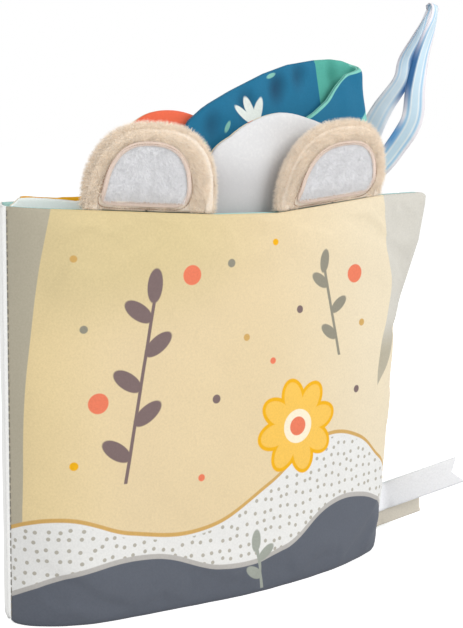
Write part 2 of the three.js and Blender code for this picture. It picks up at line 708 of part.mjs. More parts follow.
/** The line that a label follows, from the front cover's free edge outwards. */
function labelRoute(height, length, turn, sideways, steps) {
  const edge = along(coverLine(height), COVER_CUT_LENGTH);
  const start = new THREE.Vector3(edge.x, edge.y, height)
    .addScaledVector(rearOf(edge.heading), sideways)
    .addScaledVector(rearOf(edge.heading - Math.PI / 2), LABEL_ROOT_GAP);
  const degrees = THREE.MathUtils.radToDeg(edge.heading);
  const line = { start: start.toArray(), list: [[0, degrees], [LABEL_BEND, turn], [length, turn]] };
  return Array.from({ length: steps + 1 }, (_, i) => {
    const run = length * i / steps;
    const { x, y } = along(line, run);
    const climb = LABEL_CLIMB_SHARE * Math.max(0, run - LABEL_BEND / 2);
    return new THREE.Vector3(x, y, height + climb);
  });
}

const upright = () => new THREE.Vector3(0, 0, 1);

function whiteLabel() {
  const steps = 13;
  const route = labelRoute(
    WHITE_LABEL_HEIGHT,
    WHITE_LABEL_LENGTH,
    WHITE_LABEL_TURN,
    -LABEL_LAYER_OFFSET,
    steps,
  );
  const rows = (i) => [
    [-WHITE_LABEL_WIDTH / 2, 0],
    [0, i === steps ? -WHITE_LABEL_NOTCH : 0],
    [WHITE_LABEL_WIDTH / 2, 0],
  ];
  return mesh('white_label', strip(route, route.map(upright), rows, LABEL_THICKNESS), '#f0f0f0', 0.5);
}

/** The beige label is a tape folded in half, with both ends in the seam. */
function beigeLabel() {
  const steps = 9;
  const route = labelRoute(
    BEIGE_LABEL_HEIGHT,
    BEIGE_LABEL_LENGTH,
    BEIGE_LABEL_TURN,
    LABEL_LAYER_OFFSET,
    steps,
  );
  const ahead = route.map((_, i) => route[Math.min(steps, i + 1)].clone()
    .sub(route[Math.max(0, i - 1)]).normalize());
  const layerOf = (side) => route.map((point, i) => point.clone()
    .addScaledVector(rearOf(Math.atan2(ahead[i].y, ahead[i].x)), side));
  const end = route[steps].clone().addScaledVector(ahead[steps], BEIGE_LABEL_FOLD_RADIUS);
  const folded = [
    ...layerOf(-BEIGE_LABEL_FOLD_RADIUS),
    end,
    ...layerOf(BEIGE_LABEL_FOLD_RADIUS).reverse(),
  ];
  const rows = () => [[-BEIGE_LABEL_WIDTH / 2, 0], [BEIGE_LABEL_WIDTH / 2, 0]];
  return mesh('beige_label', strip(folded, folded.map(upright), rows, LABEL_THICKNESS), '#d8d2c6', 0.85);
}

// Assembly

const book = new THREE.Group();
book.add(spineStrip(), ...teal);
book.add(...white.pieces, whiteWadding, ...coral.pieces, ...yellow);
book.add(...frontCover, ...backCover);
book.add(ear('left', LEFT_EAR_FROM, 0), ear('right', RIGHT_EAR_FROM, RIGHT_EAR_SLANT));
book.add(ribbonLoop(), whiteLabel(), beigeLabel());

const bounds = new THREE.Box3().setFromObject(book);
const middle = bounds.getCenter(new THREE.Vector3());
book.position.set(-middle.x, -middle.y, -bounds.min.z);

const part = new THREE.Group();
part.add(book);

export default part;
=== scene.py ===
import json
import math

import bpy
import numpy as np
from mathutils import Matrix, Vector


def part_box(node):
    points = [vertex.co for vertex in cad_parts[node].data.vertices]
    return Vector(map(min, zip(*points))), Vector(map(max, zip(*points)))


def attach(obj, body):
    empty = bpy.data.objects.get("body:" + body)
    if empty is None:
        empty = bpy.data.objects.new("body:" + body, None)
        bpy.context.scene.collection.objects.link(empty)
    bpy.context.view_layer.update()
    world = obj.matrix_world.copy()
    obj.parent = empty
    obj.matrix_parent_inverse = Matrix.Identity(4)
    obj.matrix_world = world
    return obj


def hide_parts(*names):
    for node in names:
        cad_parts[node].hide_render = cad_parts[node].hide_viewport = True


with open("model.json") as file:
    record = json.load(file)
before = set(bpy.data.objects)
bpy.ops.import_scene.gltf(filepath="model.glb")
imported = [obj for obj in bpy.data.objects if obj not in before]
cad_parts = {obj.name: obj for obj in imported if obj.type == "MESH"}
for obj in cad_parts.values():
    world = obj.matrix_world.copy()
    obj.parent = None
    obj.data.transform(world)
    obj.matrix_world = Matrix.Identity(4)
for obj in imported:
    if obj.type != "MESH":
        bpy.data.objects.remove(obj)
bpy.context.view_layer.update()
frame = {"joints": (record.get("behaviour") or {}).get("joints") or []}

# A crinkle cloth book: padded covers and leaves sewn to a spine strip, two plush ears, a ribbon
# loop and two labels. Cloth is worked out flat, in millimetres, and then laid on its shape.
# Half thicknesses are called half, and a share runs from 0 to 1.
MM = 0.001

# Covers
COVER_HEIGHT = 180.0
COVER_LENGTH = 226.0
COVER_SEAM_HALF = 1.35
COVER_HALF = 4.2
COVER_SWELL = 16.0
COVER_SPINE_SWELL = 45.0
COVER_CORNER = 6.0
COVER_CLOTH = 1.2
LINING_CLOTH = 1.0
SPINE_DEPTH = 18.0
SPINE_SHIFT = 6.0
BACK_START = 7.1
BACK_LENGTH = 208.0
BACK_Y = 18.675
PAD_INSET = 20.0
PAD_MARGIN = 7.0
GAP = 0.3
FILM = 0.35
STRIP_HALF = 0.8
STRIP_BOW = 0.72

# The front cover's line from above: length, heading at the foot and at the top, in degrees
FACE_STATIONS = ((0, -80, -66), (15, -38, -26), (42, -8, -4), (105, -2.5, 1), (195, 21, 5))
MARGIN_STATIONS = (205, 226)
MARGIN_SHARES = (0, 0.17, 0.61, 0.69, 0.78, 0.86, 1)
MARGIN_HEADINGS = (53, 46, 43, 37.5, 24.5, 13, 2.6)
TOP_SAG_LENGTHS = (0, 33, 98, 131, 195, 226)
TOP_SAGS = (0, 1.6, 6.2, 7, 1.4, 1)

# Leaves
LEAF_END = 186.0
LEAF_EDGE_STEP = 3.0
LEAF_FOOT = 1.0
LEAF_SEAM_HALF = 0.95
LEAF_HALF = 3.3
LEAF_SWELL = 16.0
LEAF_CLOTH = 0.8
LEAF_SEWN_MARGIN = 6.0
LEAF_FAN = 30.0
LEAF_TURN_IN = 4.0
LEAF_TURN_LENGTH = 24.0
LEAF_FRONT_ROOM = 1.8
LEAF_GAP = 1.7
LEAF_FILM_INSET = 16.0
LEAF_WADDING_INSET = 26.0
DOME_FOOT = 2.0
LIMIT_SHARE = 0.92  # height at which the front cover leaves the leaves the least room
SEAM_SHARES = (0.17, 0.37, 0.57, 0.77)
LEAN_SHARES = (0.02, 0.22, 0.22, 0.1)
TEAL_RISE = 64.0
TEAL_CREST = (
    (0, -0.03), (0.36, 0), (0.46, 0.4), (0.5, 0.55), (0.55, 0.65), (0.63, 0.76), (0.74, 0.89),
    (0.82, 0.96), (0.91, 1), (0.96, 1.01), (1, 1),
)
TEAL_FLAP = (
    (0, 1), (0.12, 0.97), (0.26, 0.92), (0.38, 0.89), (0.52, 0.79), (0.63, 0.69),
    (0.79, 0.6), (1, 0.51),
)
ROLL_RADIUS = 3.4
ROLL_START = 3.5
FLAP_LENGTH = 42.0
FLAP_FOOT = 22.0
ROLL_RISE = 26.0

# Ears
EAR_WIDTH = 64.0
EAR_HEIGHT = 38.0
EAR_BASE_HALF = 3.1125
EAR_LEAN = 8.0
EAR_ROUNDNESS = 2.6

# Ribbon and labels
RIBBON_WIDTH = 12.0
RIBBON_HEIGHT = 90.0
RIBBON_SATIN = 0.4
RIBBON_STEPS = 150
RIBBON_FROM_EDGE = 11.0
RIBBON_FOOT_LIFT = 0.8
RIBBON_ROUTE = (
    (-2.5, 0.7, 0), (-1.9, 1.5, 0.06), (2.7, 5.3, 0.17), (9.9, 5.3, 0.31), (14.6, 1.7, 0.44),
    (20.7, -5.9, 0.6), (20.5, -9.7, 0.72), (23.6, -15.5, 0.85), (25.8, -22.5, 1), (24, -26, 0.93),
    (18.9, -23.8, 0.74), (18, -20.2, 0.56), (19.8, -15.3, 0.37), (14, -8, 0.2), (6.5, -4.3, 0.09),
    (2.5, -1, 0.035), (2, -0.7, 0),
)
RIBBON_TURNS = ((0, 0.3, 0.86, 1), (0, -25, 22, 42))
LABEL_BEND = 10.0
LABEL_TAPE = 0.5
LABEL_ROOT_GAP = 0.6
LABEL_OFFSET = 0.8
LABEL_FOLD = 0.6
WHITE_LABEL_HALF = 7.0
BEIGE_LABEL_HALF = 5.75

# Camera, fitted to the photograph: place, turn and downward tilt, and focal length in pixels
CAMERA_PLACE = (-207.17, -513.04, 222.06)
CAMERA_TURN = -32.0
CAMERA_TILT = 5.8
CAMERA_FOCUS = 1300.0
IMAGE_WIDTH = 463
IMAGE_HEIGHT = 628
HORIZON_ROW = 105.0

back_low, back_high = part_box("back_cover_panel")
FRAME_SHIFT = np.array([
    back_low[0] / MM - BACK_START,
    back_high[1] / MM - BACK_Y - COVER_HALF,
    0.0,
])
hinges = {joint["child"]: joint for joint in frame["joints"]}


# Shapes worked out with arrays

def vec(*parts):
    return np.stack(parts, axis=-1)


def ease(value):
    held = np.clip(value, 0.0, 1.0)
    return held * held * (3.0 - 2.0 * held)


def pillow(value):
    return np.sqrt(1.0 - (1.0 - np.clip(value, 0.0, 1.0)) ** 2)


def waves(u, v, length, seed, count=7):
    """Soft random waves between about -1 and 1, of roughly the given length."""
    random = np.random.default_rng(seed)
    total = np.zeros(np.broadcast(u, v).shape)
    for _ in range(count):
        way = random.uniform(0.0, math.tau)
        pace = math.tau / (length * random.uniform(0.7, 1.5))
        phase = random.uniform(0.0, math.tau)
        total += np.sin(pace * (u * math.cos(way) + v * math.sin(way)) + phase)
    return total / math.sqrt(count) / 1.4


def edge_distance(u, v, outline):
    """How far each flat point lies from a closed outline."""
    points = vec(u, v)[..., None, :]
    start = np.asarray(outline, float)
    side = np.roll(start, -1, axis=0) - start
    length = np.maximum((side ** 2).sum(axis=-1), 1e-9)
    along = np.clip(((points - start) * side).sum(axis=-1) / length, 0.0, 1.0)
    nearest = start + along[..., None] * side
    return np.sqrt(((points - nearest) ** 2).sum(axis=-1)).min(axis=-1)


def corner_lift(distance):
    left = np.clip(COVER_CORNER - distance, 0.0, COVER_CORNER)
    return COVER_CORNER - np.sqrt(COVER_CORNER ** 2 - left ** 2)


def rear_of(heading):
    return vec(-np.sin(heading), np.cos(heading), np.zeros_like(heading))


def cover_line(u, v):
    """The front cover's middle surface: a line of arcs at each height."""
    up = v / COVER_HEIGHT
    margin = np.interp(up, MARGIN_SHARES, MARGIN_HEADINGS)
    stations = [(length, foot + (top - foot) * up) for length, foot, top in FACE_STATIONS]
    stations += [(length, margin) for length in MARGIN_STATIONS]
    x = np.zeros_like(up)
    y = np.full_like(up, -GAP / 2)
    heading = np.radians(stations[0][1])
    for (start, before), (end, after) in zip(stations, stations[1:]):
        step = np.clip(u - start, 0.0, end - start)
        turn = np.radians(after - before) * step / (end - start)
        reach = step * np.sinc(turn / math.tau)
        x = x + reach * np.cos(heading + turn / 2)
        y = y + reach * np.sin(heading + turn / 2)
        heading = heading + turn
    return x, y, heading


def front_surface(u, v):
    x, y, heading = cover_line(u, v)
    return vec(x, y, v), rear_of(heading)


def back_surface(u, v):
    place = vec(BACK_START + u, np.full_like(u, BACK_Y), v)
    return place, np.broadcast_to([0.0, 1.0, 0.0], place.shape)


def front_top(u):
    return COVER_HEIGHT - np.interp(u, TOP_SAG_LENGTHS, TOP_SAGS) - corner_lift(COVER_LENGTH - u)


limit_u = np.linspace(0.0, COVER_LENGTH, 600)
limit_v = np.full_like(limit_u, LIMIT_SHARE * COVER_HEIGHT)
limit_x, limit_y, limit_heading = cover_line(limit_u, limit_v)
limit_fan = ease((limit_u + COVER_CORNER) / COVER_SPINE_SWELL)
limit_half = COVER_SEAM_HALF + (COVER_HALF - COVER_SEAM_HALF) * limit_fan
limit_back = limit_y + limit_half / np.cos(limit_heading) + LEAF_FRONT_ROOM
spine_length = math.hypot(SPINE_SHIFT, SPINE_DEPTH)


def leaf_root(order):
    across, deep = SPINE_SHIFT / spine_length, SPINE_DEPTH / spine_length
    stand_off = STRIP_HALF + GAP + LEAF_SEAM_HALF * across
    share = SEAM_SHARES[order]
    return SPINE_SHIFT * share + deep * stand_off, SPINE_DEPTH * share - across * stand_off


def leaf_room(x):
    """The front and the rear limit of the leaves at a place along X."""
    front = np.interp(x, limit_x, limit_back)
    full = ease((x - BACK_START + COVER_CORNER) / COVER_SPINE_SWELL)
    full = full * pillow((BACK_START + BACK_LENGTH - x) / COVER_SWELL)
    return front, BACK_Y - COVER_SEAM_HALF - (COVER_HALF - COVER_SEAM_HALF) * full - GAP


def leaf_depth(order, x):
    root_x, root_y = leaf_root(order)
    front, back = leaf_room(x)
    place = front + (back - front) * (order + 0.5) / len(SEAM_SHARES)
    return root_y + (place - root_y) * ease((x - root_x - LEAF_TURN_IN) / LEAF_TURN_LENGTH)


def leaf_heading(order, x):
    return np.arctan((leaf_depth(order, x + LEAF_CLOTH) - leaf_depth(order, x)) / LEAF_CLOTH)


def leaf_half(order, x):
    """The leaf's greatest half thickness at a place along X."""
    front, back = leaf_room(x)
    room = (back - front) / len(SEAM_SHARES) * np.cos(leaf_heading(order, x))
    share = ((room - LEAF_GAP) / 2 - LEAF_SEAM_HALF) / (LEAF_HALF - LEAF_SEAM_HALF)
    fan = ease((x - leaf_root(order)[0] - LEAF_SEWN_MARGIN) / LEAF_FAN)
    full = np.clip(share, 0.0, 1.0) * fan
    return LEAF_SEAM_HALF + (LEAF_HALF - LEAF_SEAM_HALF) * full


def leaf_surface(order):
    def surface(u, v):
        heading = leaf_heading(order, u)
        lean = LEAN_SHARES[order] * np.clip(v - COVER_HEIGHT, 0.0, None)
        return vec(u, leaf_depth(order, u) + lean, v), rear_of(heading)
    return surface


def teal_surface(u, v):
    """The teal leaf past its free edge rolls over to the front."""
    x = np.minimum(u, LEAF_END)
    place, _ = leaf_surface(1)(x, v)
    heading = leaf_heading(1, x)
    opening = ease((v - COVER_HEIGHT - FLAP_FOOT + ROLL_RISE) / ROLL_RISE)
    past = np.clip(u - LEAF_END, 0.0, None) * opening
    rolled = np.clip(past - ROLL_START, 0.0, None)
    turn = np.minimum(math.pi, rolled / ROLL_RADIUS)
    back = np.clip(rolled - math.pi * ROLL_RADIUS, 0.0, None)
    ahead = np.minimum(past, ROLL_START) + ROLL_RADIUS * np.sin(turn) - back
    forward = vec(np.cos(heading), np.sin(heading), np.zeros_like(heading))
    place = place + forward * ahead[..., None]
    place = place - rear_of(heading) * (ROLL_RADIUS * (1 - np.cos(turn)))[..., None]
    return place, rear_of(heading - turn)


# Meshes

def in_scene(name, data):
    """An object in the scene with this mesh, light or camera."""
    made = bpy.data.objects.new(name, data)
    bpy.context.scene.collection.objects.link(made)
    return made


def mesh_object(name, points, edges, faces):
    """An object whose mesh has these points, in metres."""
    mesh = bpy.data.meshes.new(name)
    mesh.from_pydata(points.tolist(), edges, faces)
    return in_scene(name, mesh)


def new_object(name, points, faces, uv=None):
    """An object whose points are millimetres in the part's own frame."""
    places = (np.asarray(points, float).reshape(-1, 3) + FRAME_SHIFT) * MM
    made = mesh_object(name, places, [], faces)
    mesh = made.data
    if uv is not None:
        flat = np.broadcast_to(uv, (*points.shape[:-1], 2)).reshape(-1, 2) * MM
        loops = np.zeros(len(mesh.loops), int)
        mesh.loops.foreach_get("vertex_index", loops)
        mesh.uv_layers.new(name="flat").data.foreach_set("uv", flat[loops].ravel())
    mesh.shade_smooth()
    return made


def slab_faces(columns, rows):
    """Quads of a closed slab: a front grid, then a rear grid, each column by column."""
    def at(side, i, j):
        return side * columns * rows + i * rows + j
    faces = []
    for i in range(columns - 1):
        for j in range(rows - 1):
            faces.append((at(0, i, j), at(0, i + 1, j), at(0, i + 1, j + 1), at(0, i, j + 1)))
            faces.append((at(1, i, j), at(1, i, j + 1), at(1, i + 1, j + 1), at(1, i + 1, j)))
    for i in range(columns - 1):
        low, high = 0, rows - 1
        faces.append((at(0, i, low), at(1, i, low), at(1, i + 1, low), at(0, i + 1, low)))
        faces.append((at(0, i, high), at(0, i + 1, high), at(1, i + 1, high), at(1, i, high)))
    for j in range(rows - 1):
        first, last = 0, columns - 1
        faces.append((at(0, first, j), at(0, first, j + 1), at(1, first, j + 1), at(1, first, j)))
        faces.append((at(0, last, j), at(1, last, j), at(1, last, j + 1), at(0, last, j + 1)))
    return faces


def slab(name, faces, flat):
    """A closed object between a front and a rear grid of places."""
    return new_object(name, np.stack(faces), slab_faces(*flat.shape[:2]), flat)


def layer(name, surface, u, v, front, rear):
    """A closed layer between two distances from a surface. u and v are flat places."""
    place, normal = surface(u, v)
    faces = [place + normal * np.broadcast_to(out, u.shape)[..., None] for out in (front, rear)]
    return slab(name, faces, vec(u, v))


def skin(name, surface, u, v, out, side, cloth):
    """Cloth laid inwards from a padded face, which is the front (-1) or the rear (1)."""
    return layer(name, surface, u, v, *(out, out - side * cloth)[::-side])


def grid(columns, rows, low, high):
    """Flat places: columns are lengths, rows are shares between a low and a high edge."""
    u = np.repeat(np.asarray(columns, float)[:, None], len(rows), axis=1)
    foot, top = low(u), high(u)
    return u, foot + (top - foot) * np.asarray(rows, float)[None, :]


def refined(values, columns, rows):
    """A coarse grid of values, drawn smoothly at more columns and rows."""
    for axis, count in ((0, columns), (1, rows)):
        size = values.shape[axis]
        place = np.linspace(0.0, size - 1.0, count)
        whole = np.minimum(place.astype(int), size - 2)
        part = place - whole
        picks = [np.take(values, np.clip(whole + k, 0, size - 1), axis=axis) for k in (-1, 0, 1, 2)]
        shape = [1, 1]
        shape[axis] = count
        t = part.reshape(shape)
        a, b, c, d = picks
        values = b + 0.5 * t * (c - a + t * (2 * a - 5 * b + 4 * c - d + t * (3 * (b - c) + d - a)))
    return values


def edge_spaced(start, end, count, edge):
    """Places that lie closer at both ends."""
    share = np.linspace(0.0, 1.0, count)
    bent = share - edge * np.sin(math.tau * share) / math.tau
    return start + (end - start) * bent


# Cloth simulation: a flat pad is blown up between its seams, which draws the cloth into folds

PAD_STEP = 3.2
PAD_FRAMES = 20
PAD_CAP = 5.0
PAD_FOLD = 0.8
PAD_FOLD_FADE = 9.0
PAD_BLUR_ROUNDS = 30
PAD_CLOTH = {
    "quality": 6, "mass": 0.15, "tension_stiffness": 12, "compression_stiffness": 12,
    "bending_stiffness": 0.15, "use_pressure": True, "uniform_pressure_force": 4.0,
    "shrink_min": -0.035, "vertex_group_mass": "rim",
}


def blown_pad(width, height):
    """How far the front and the rear of a flat pad move, as two grids of vectors."""
    columns, rows = round(width / PAD_STEP) + 1, round(height / PAD_STEP) + 1
    u, v = np.meshgrid(np.linspace(0, width, columns), np.linspace(0, height, rows), indexing="ij")
    start = vec(u, v, np.zeros_like(u))
    front = np.arange(columns * rows).reshape(columns, rows)
    rear = front.copy()
    loose = (columns - 2) * (rows - 2)
    rear[1:-1, 1:-1] = columns * rows + np.arange(loose).reshape(columns - 2, -1)
    lift = 0.3 * waves(u, v, 40.0, 5)
    upper, lower = start.copy(), start.copy()
    upper[..., 2] -= 0.5 + lift
    lower[..., 2] += 0.5 + lift
    points = np.concatenate([upper.reshape(-1, 3), lower[1:-1, 1:-1].reshape(-1, 3)])
    rim = np.ones_like(front, bool)
    rim[1:-1, 1:-1] = False
    points[front[rim], 2] = 0.0
    faces = []
    for i in range(columns - 1):
        for j in range(rows - 1):
            ring = ((i, j), (i + 1, j), (i + 1, j + 1), (i, j + 1))
            faces.append([front[k] for k in ring[::-1]])
            faces.append([rear[k] for k in ring])
    pad = mesh_object("pad", points * MM, [], faces)
    pad.vertex_groups.new(name="rim").add([int(k) for k in front[rim]], 1.0, "REPLACE")
    cloth = pad.modifiers.new("cloth", "CLOTH").settings
    for key, value in PAD_CLOTH.items():
        setattr(cloth, key, value)
    cloth.effector_weights.gravity = 0
    scene = bpy.context.scene
    for number in range(1, PAD_FRAMES + 1):
        scene.frame_set(number)
    evaluated = pad.evaluated_get(bpy.context.evaluated_depsgraph_get())
    moved = np.zeros(len(evaluated.data.vertices) * 3)
    evaluated.data.vertices.foreach_get("co", moved)
    moved = moved.reshape(-1, 3) / MM
    scene.frame_set(1)
    bpy.data.objects.remove(pad)
    shifts = []
    for numbers in (front, rear):
        shift = moved[numbers] - start
        far = np.linalg.norm(shift, axis=-1, keepdims=True)
        shifts.append(shift * np.minimum(1.0, PAD_CAP / np.maximum(far, 1e-6)))
    return shifts


def blurred(values, rounds):
    """A grid of values averaged with its neighbours over and over."""
    for _ in range(rounds):
        held = np.pad(values, 1, mode="edge")
        around = held[:-2, 1:-1] + held[2:, 1:-1] + held[1:-1, :-2] + held[1:-1, 2:]
        values = (around + 2 * values) / 6
    return values


def pad_shape(u, v, width, height):
    """How full a padded cover is on its front and rear: a pillow with the simulated folds."""
    rim = ((0, 0), (width, 0), (width, height), (0, height))
    seam = edge_distance(u, v, rim)
    full = pillow(seam / COVER_SWELL) * COVER_HALF
    faces = []
    for shift in blown_pad(width, height):
        puffed = np.abs(shift[..., 2])
        folds = refined(puffed - blurred(puffed, PAD_BLUR_ROUNDS), *u.shape)
        folds = np.clip(folds, -PAD_FOLD, PAD_FOLD)
        faces.append(full + folds * ease(seam / PAD_FOLD_FADE))
    return faces


# Covers

COVER_COLUMNS = 151
COVER_ROWS = 121
COVER_SWAY = 0.5
COVER_SWAY_LENGTH = 70.0
COVER_RIPPLE = 0.12
COVER_RIPPLE_LENGTH = 14.0
WADDING_LEAST = 0.2


def even_margin(u, v):
    return 1.0, 0.0


def worn_margin(u, v):
    """The front cover's free margin: flatter towards the foot, with a pressed crease above it."""
    flat = 1 - 0.55 * ease((u - 194.0) / 14.0) * ease((80.0 - v) / 34.0)
    crease = np.exp(-((v - 111.0 - 0.3 * (u - 212.0)) / 2.6) ** 2) * ease((u - 201.0) / 10.0)
    return flat, 1.3 * crease


def padded_cover(name, surface, length, low, high, lining_side, seed, margin):
    """The four layers of a cover: outer cloth, wadding, film and lining."""
    shares = np.linspace(0.0, 1.0, COVER_ROWS)
    u, v = grid(np.linspace(0.0, length, COVER_COLUMNS), shares, low, high)
    front, rear = pad_shape(u, v, length, COVER_HEIGHT)
    fan = ease((u + COVER_CORNER) / COVER_SPINE_SWELL)
    inwards = ease(np.minimum(u, length - u) / 30.0)
    sway = COVER_SWAY * waves(u, v, COVER_SWAY_LENGTH, seed) * inwards
    flat, crease = margin(u, v)
    cloth = {-lining_side: COVER_CLOTH, lining_side: LINING_CLOTH}
    piece = {-lining_side: "panel", lining_side: "lining"}
    outs, made = {}, {}
    for side, full in ((-1, front * flat), (1, rear)):
        thick = COVER_SEAM_HALF + np.maximum(full, 0.0) * fan * (1 - COVER_SEAM_HALF / COVER_HALF)
        ripple = COVER_RIPPLE * waves(u, v, COVER_RIPPLE_LENGTH, seed + side) * fan * flat
        outs[side] = side * thick + sway + ripple + crease
    for side in (-lining_side, lining_side):
        made[piece[side]] = skin(
            f"{name}_{piece[side]}_cloth", surface, u, v, outs[side], side, cloth[side])
    inside = (u[::3, 0] > PAD_INSET) & (u[::3, 0] < length - PAD_MARGIN)
    pu, pv, low_face, high_face = (k[::3, ::3][inside][:, 2:-2] for k in (u, v, outs[-1], outs[1]))
    low_face = low_face + cloth[-1] + GAP
    high_face = high_face - cloth[1] - GAP
    film_mid = (high_face - FILM) if lining_side > 0 else (low_face + FILM)
    film = film_mid + 0.08 * waves(pu, pv, 9.0, seed + 9)
    made["film"] = layer(f"{name}_crackle_film", surface, pu, pv, film - FILM / 2, film + FILM / 2)
    if lining_side > 0:
        wad = (low_face, np.maximum(film_mid - FILM, low_face + WADDING_LEAST))
    else:
        wad = (np.minimum(film_mid + FILM, high_face - WADDING_LEAST), high_face)
    made["wadding"] = layer(f"{name}_wadding_pad", surface, pu, pv, *wad)
    return made


front_cover = padded_cover(
    "front_cover", front_surface, COVER_LENGTH, corner_lift, front_top,
    lining_side=1, seed=11, margin=worn_margin,
)
back_cover = padded_cover(
    "back_cover", back_surface, BACK_LENGTH, lambda u: corner_lift(BACK_LENGTH - u),
    lambda u: COVER_HEIGHT - corner_lift(BACK_LENGTH - u),
    lining_side=-1, seed=23, margin=even_margin,
)


def spine_strip():
    """A band of cloth from the front seam to the rear seam, a little bowed."""
    rise = np.linspace(0.0, COVER_HEIGHT, 61)
    share = np.linspace(0.0, 1.0, 25)
    u, v = np.meshgrid(share, rise, indexing="ij")
    way = np.array([SPINE_SHIFT, SPINE_DEPTH, 0.0]) / spine_length
    inward = np.array([way[1], -way[0], 0.0])
    inset = GAP + COVER_SEAM_HALF * way[0]
    run = inset + u * (spine_length - 2 * inset)
    bow = (STRIP_BOW + 0.25 * waves(run, v, 30.0, 3)) * np.sin(math.pi * u)
    middle = run[..., None] * way - bow[..., None] * inward
    middle[..., 2] = v
    faces = [middle + side * STRIP_HALF * inward for side in (1, -1)]
    return slab("spine_strip_cloth", faces, vec(run, v))


# Leaves

def dome_top(centre, half_width, height):
    def top(u):
        across = (u - centre) / half_width
        rise = height * np.sqrt(np.clip(1.0 - across ** 2, 0.0, None))
        return COVER_HEIGHT + np.clip(rise - DOME_FOOT, 0.0, None)
    return top


def dome_columns(start, centre, half_width):
    """Columns from the spine to the free edge, close together at the sides of the dome."""
    left, right = centre - half_width, min(centre + half_width, LEAF_END - LEAF_EDGE_STEP)
    arc = np.linspace(math.pi, math.acos((right - centre) / half_width), 44)
    return np.concatenate([
        edge_spaced(start, left, count=22, edge=0.6)[:-1],
        centre + half_width * np.cos(arc),
        np.linspace(right, LEAF_END, 8)[1:],
    ])


def leaf(name, order, surface, columns, low, high, half, seed, pucker, dents=()):
    """Front cloth, rear cloth and crackle film of a leaf. A dent is a place, radius and depth."""
    rows = edge_spaced(0.0, 1.0, 85, 0.55)
    u, v = grid(columns, rows, low, high)
    outline = np.concatenate([
        vec(u[:, 0], v[:, 0]),
        vec(u[::-1, -1], v[::-1, -1]),
    ])
    seam = edge_distance(u, v, outline)
    full = pillow(seam / LEAF_SWELL)
    thick = LEAF_SEAM_HALF + (half(u) - LEAF_SEAM_HALF) * full
    draw = np.exp(-seam / 10.0) * (1 - np.exp(-seam / 1.2))
    gathers = pucker * draw * waves(u, v * 0.4, 11.0, seed)
    for dent_u, dent_v, radius, depth in dents:
        near = ((u - dent_u) ** 2 + (v - dent_v) ** 2) / radius ** 2
        gathers = gathers + depth * full * np.exp(-near)
    made = {}
    for piece, side in (("front", -1), ("rear", 1)):
        ripple = 0.25 * full * waves(u, v, 26.0, seed + side)
        out = side * (thick - np.abs(0.3 * ripple)) + gathers + 0.25 * ripple
        made[piece] = skin(f"{name}_{piece}_cloth", surface, u, v, out, side, LEAF_CLOTH)
    past = u[:, 0] - leaf_root(order)[0]
    keep = (past > LEAF_FILM_INSET) & (u[:, 0] < LEAF_END - LEAF_EDGE_STEP)
    fu, fv, film = (k[keep][::2, 4:-4:3] for k in (u, v, gathers))
    made["film"] = layer(f"{name}_crackle_film", surface, fu, fv, film - FILM / 2, film + FILM / 2)
    if name == "white_leaf":
        inside = (past > LEAF_WADDING_INSET) & (u[:, 0] < LEAF_END - LEAF_SWELL)
        wu, wv, near, room = (k[inside][:, 8:-8:3] for k in (u, v, gathers, thick))
        room = room - LEAF_CLOTH - GAP
        made["wadding"] = layer(
            f"{name}_wadding_pad", surface, wu, wv, near - room, near - FILM - 0.1)
    return made


def plain_low(u):
    return np.full_like(u, LEAF_FOOT)


def made_dome(name, order, centre, half_width, height, seed, pucker, extra, dents=()):
    """A leaf with a dome. Extra is how much higher than planned its edge was sewn, over u."""
    start = leaf_root(order)[0]
    columns = dome_columns(start, centre, half_width)
    plain = dome_top(centre, half_width, height)
    return leaf(name, order, leaf_surface(order), columns, plain_low,
                lambda u: plain(u) + np.interp(u, *zip(*extra)),
                lambda u: leaf_half(order, u), seed, pucker, dents)


white_leaf = made_dome(
    "white_leaf", order=0, centre=136.0, half_width=46.0, height=41.0, seed=31, pucker=0.25,
    extra=((3, -1), (5.5, -0.4), (6.5, 1.6), (8, 2.6), (13, 2.9), (19, 2.5), (22, 2.1), (25.5, 2),
     (30, 1.3), (45, 1.6), (70, 1.4), (88, 0.5), (97, 1.8), (106, -1.6), (120, -1.2), (135, -0.4),
     (150, -1.2), (165, 0)),
    dents=((150, 196, 11, 1.5), (128, 205, 9, 0.7), (112, 190, 14, -0.6), (22, 180, 3, 1.2)),
)
coral_leaf = made_dome(
    "coral_leaf", order=2, centre=87.0, half_width=39.0, height=41.0, seed=37, pucker=0.35,
    extra=((3, -3), (30, -3), (46, -1), (60, 0), (75, 1.0), (92, 0.6), (110, 0)),
)
YELLOW_EDGE = (
    (3, 11, 14, 19, 25, 30, 34, 45, 186), (-3, -2.5, 2.5, 2.3, 1.9, 1.2, 1.8, 1.4, 1.4))
yellow_leaf = leaf(
    "yellow_leaf", 3, leaf_surface(3), edge_spaced(leaf_root(3)[0], LEAF_END, 70, 0.6), plain_low,
    lambda u: COVER_HEIGHT + np.interp(u, *YELLOW_EDGE) + 0.15 * np.sin(u / 2.1),
    lambda u: leaf_half(3, u), seed=41, pucker=0.3,
)

roll_length = ROLL_START + math.pi * ROLL_RADIUS + FLAP_LENGTH


def teal_top(u):
    crest = np.interp(u / LEAF_END, *zip(*TEAL_CREST))
    flap = np.interp((u - LEAF_END) / roll_length, *zip(*TEAL_FLAP))
    return COVER_HEIGHT + TEAL_RISE * np.where(u <= LEAF_END, crest, flap)


def teal_low(u):
    return (COVER_HEIGHT + FLAP_FOOT) * ease((u - LEAF_END) / 1.5)


def teal_half(u):
    rolled = ease((u - LEAF_END + LEAF_SWELL) / LEAF_SWELL) / 2
    full = leaf_half(1, np.minimum(u, LEAF_END)) - LEAF_SEAM_HALF
    return LEAF_SEAM_HALF + full * (1 - rolled)


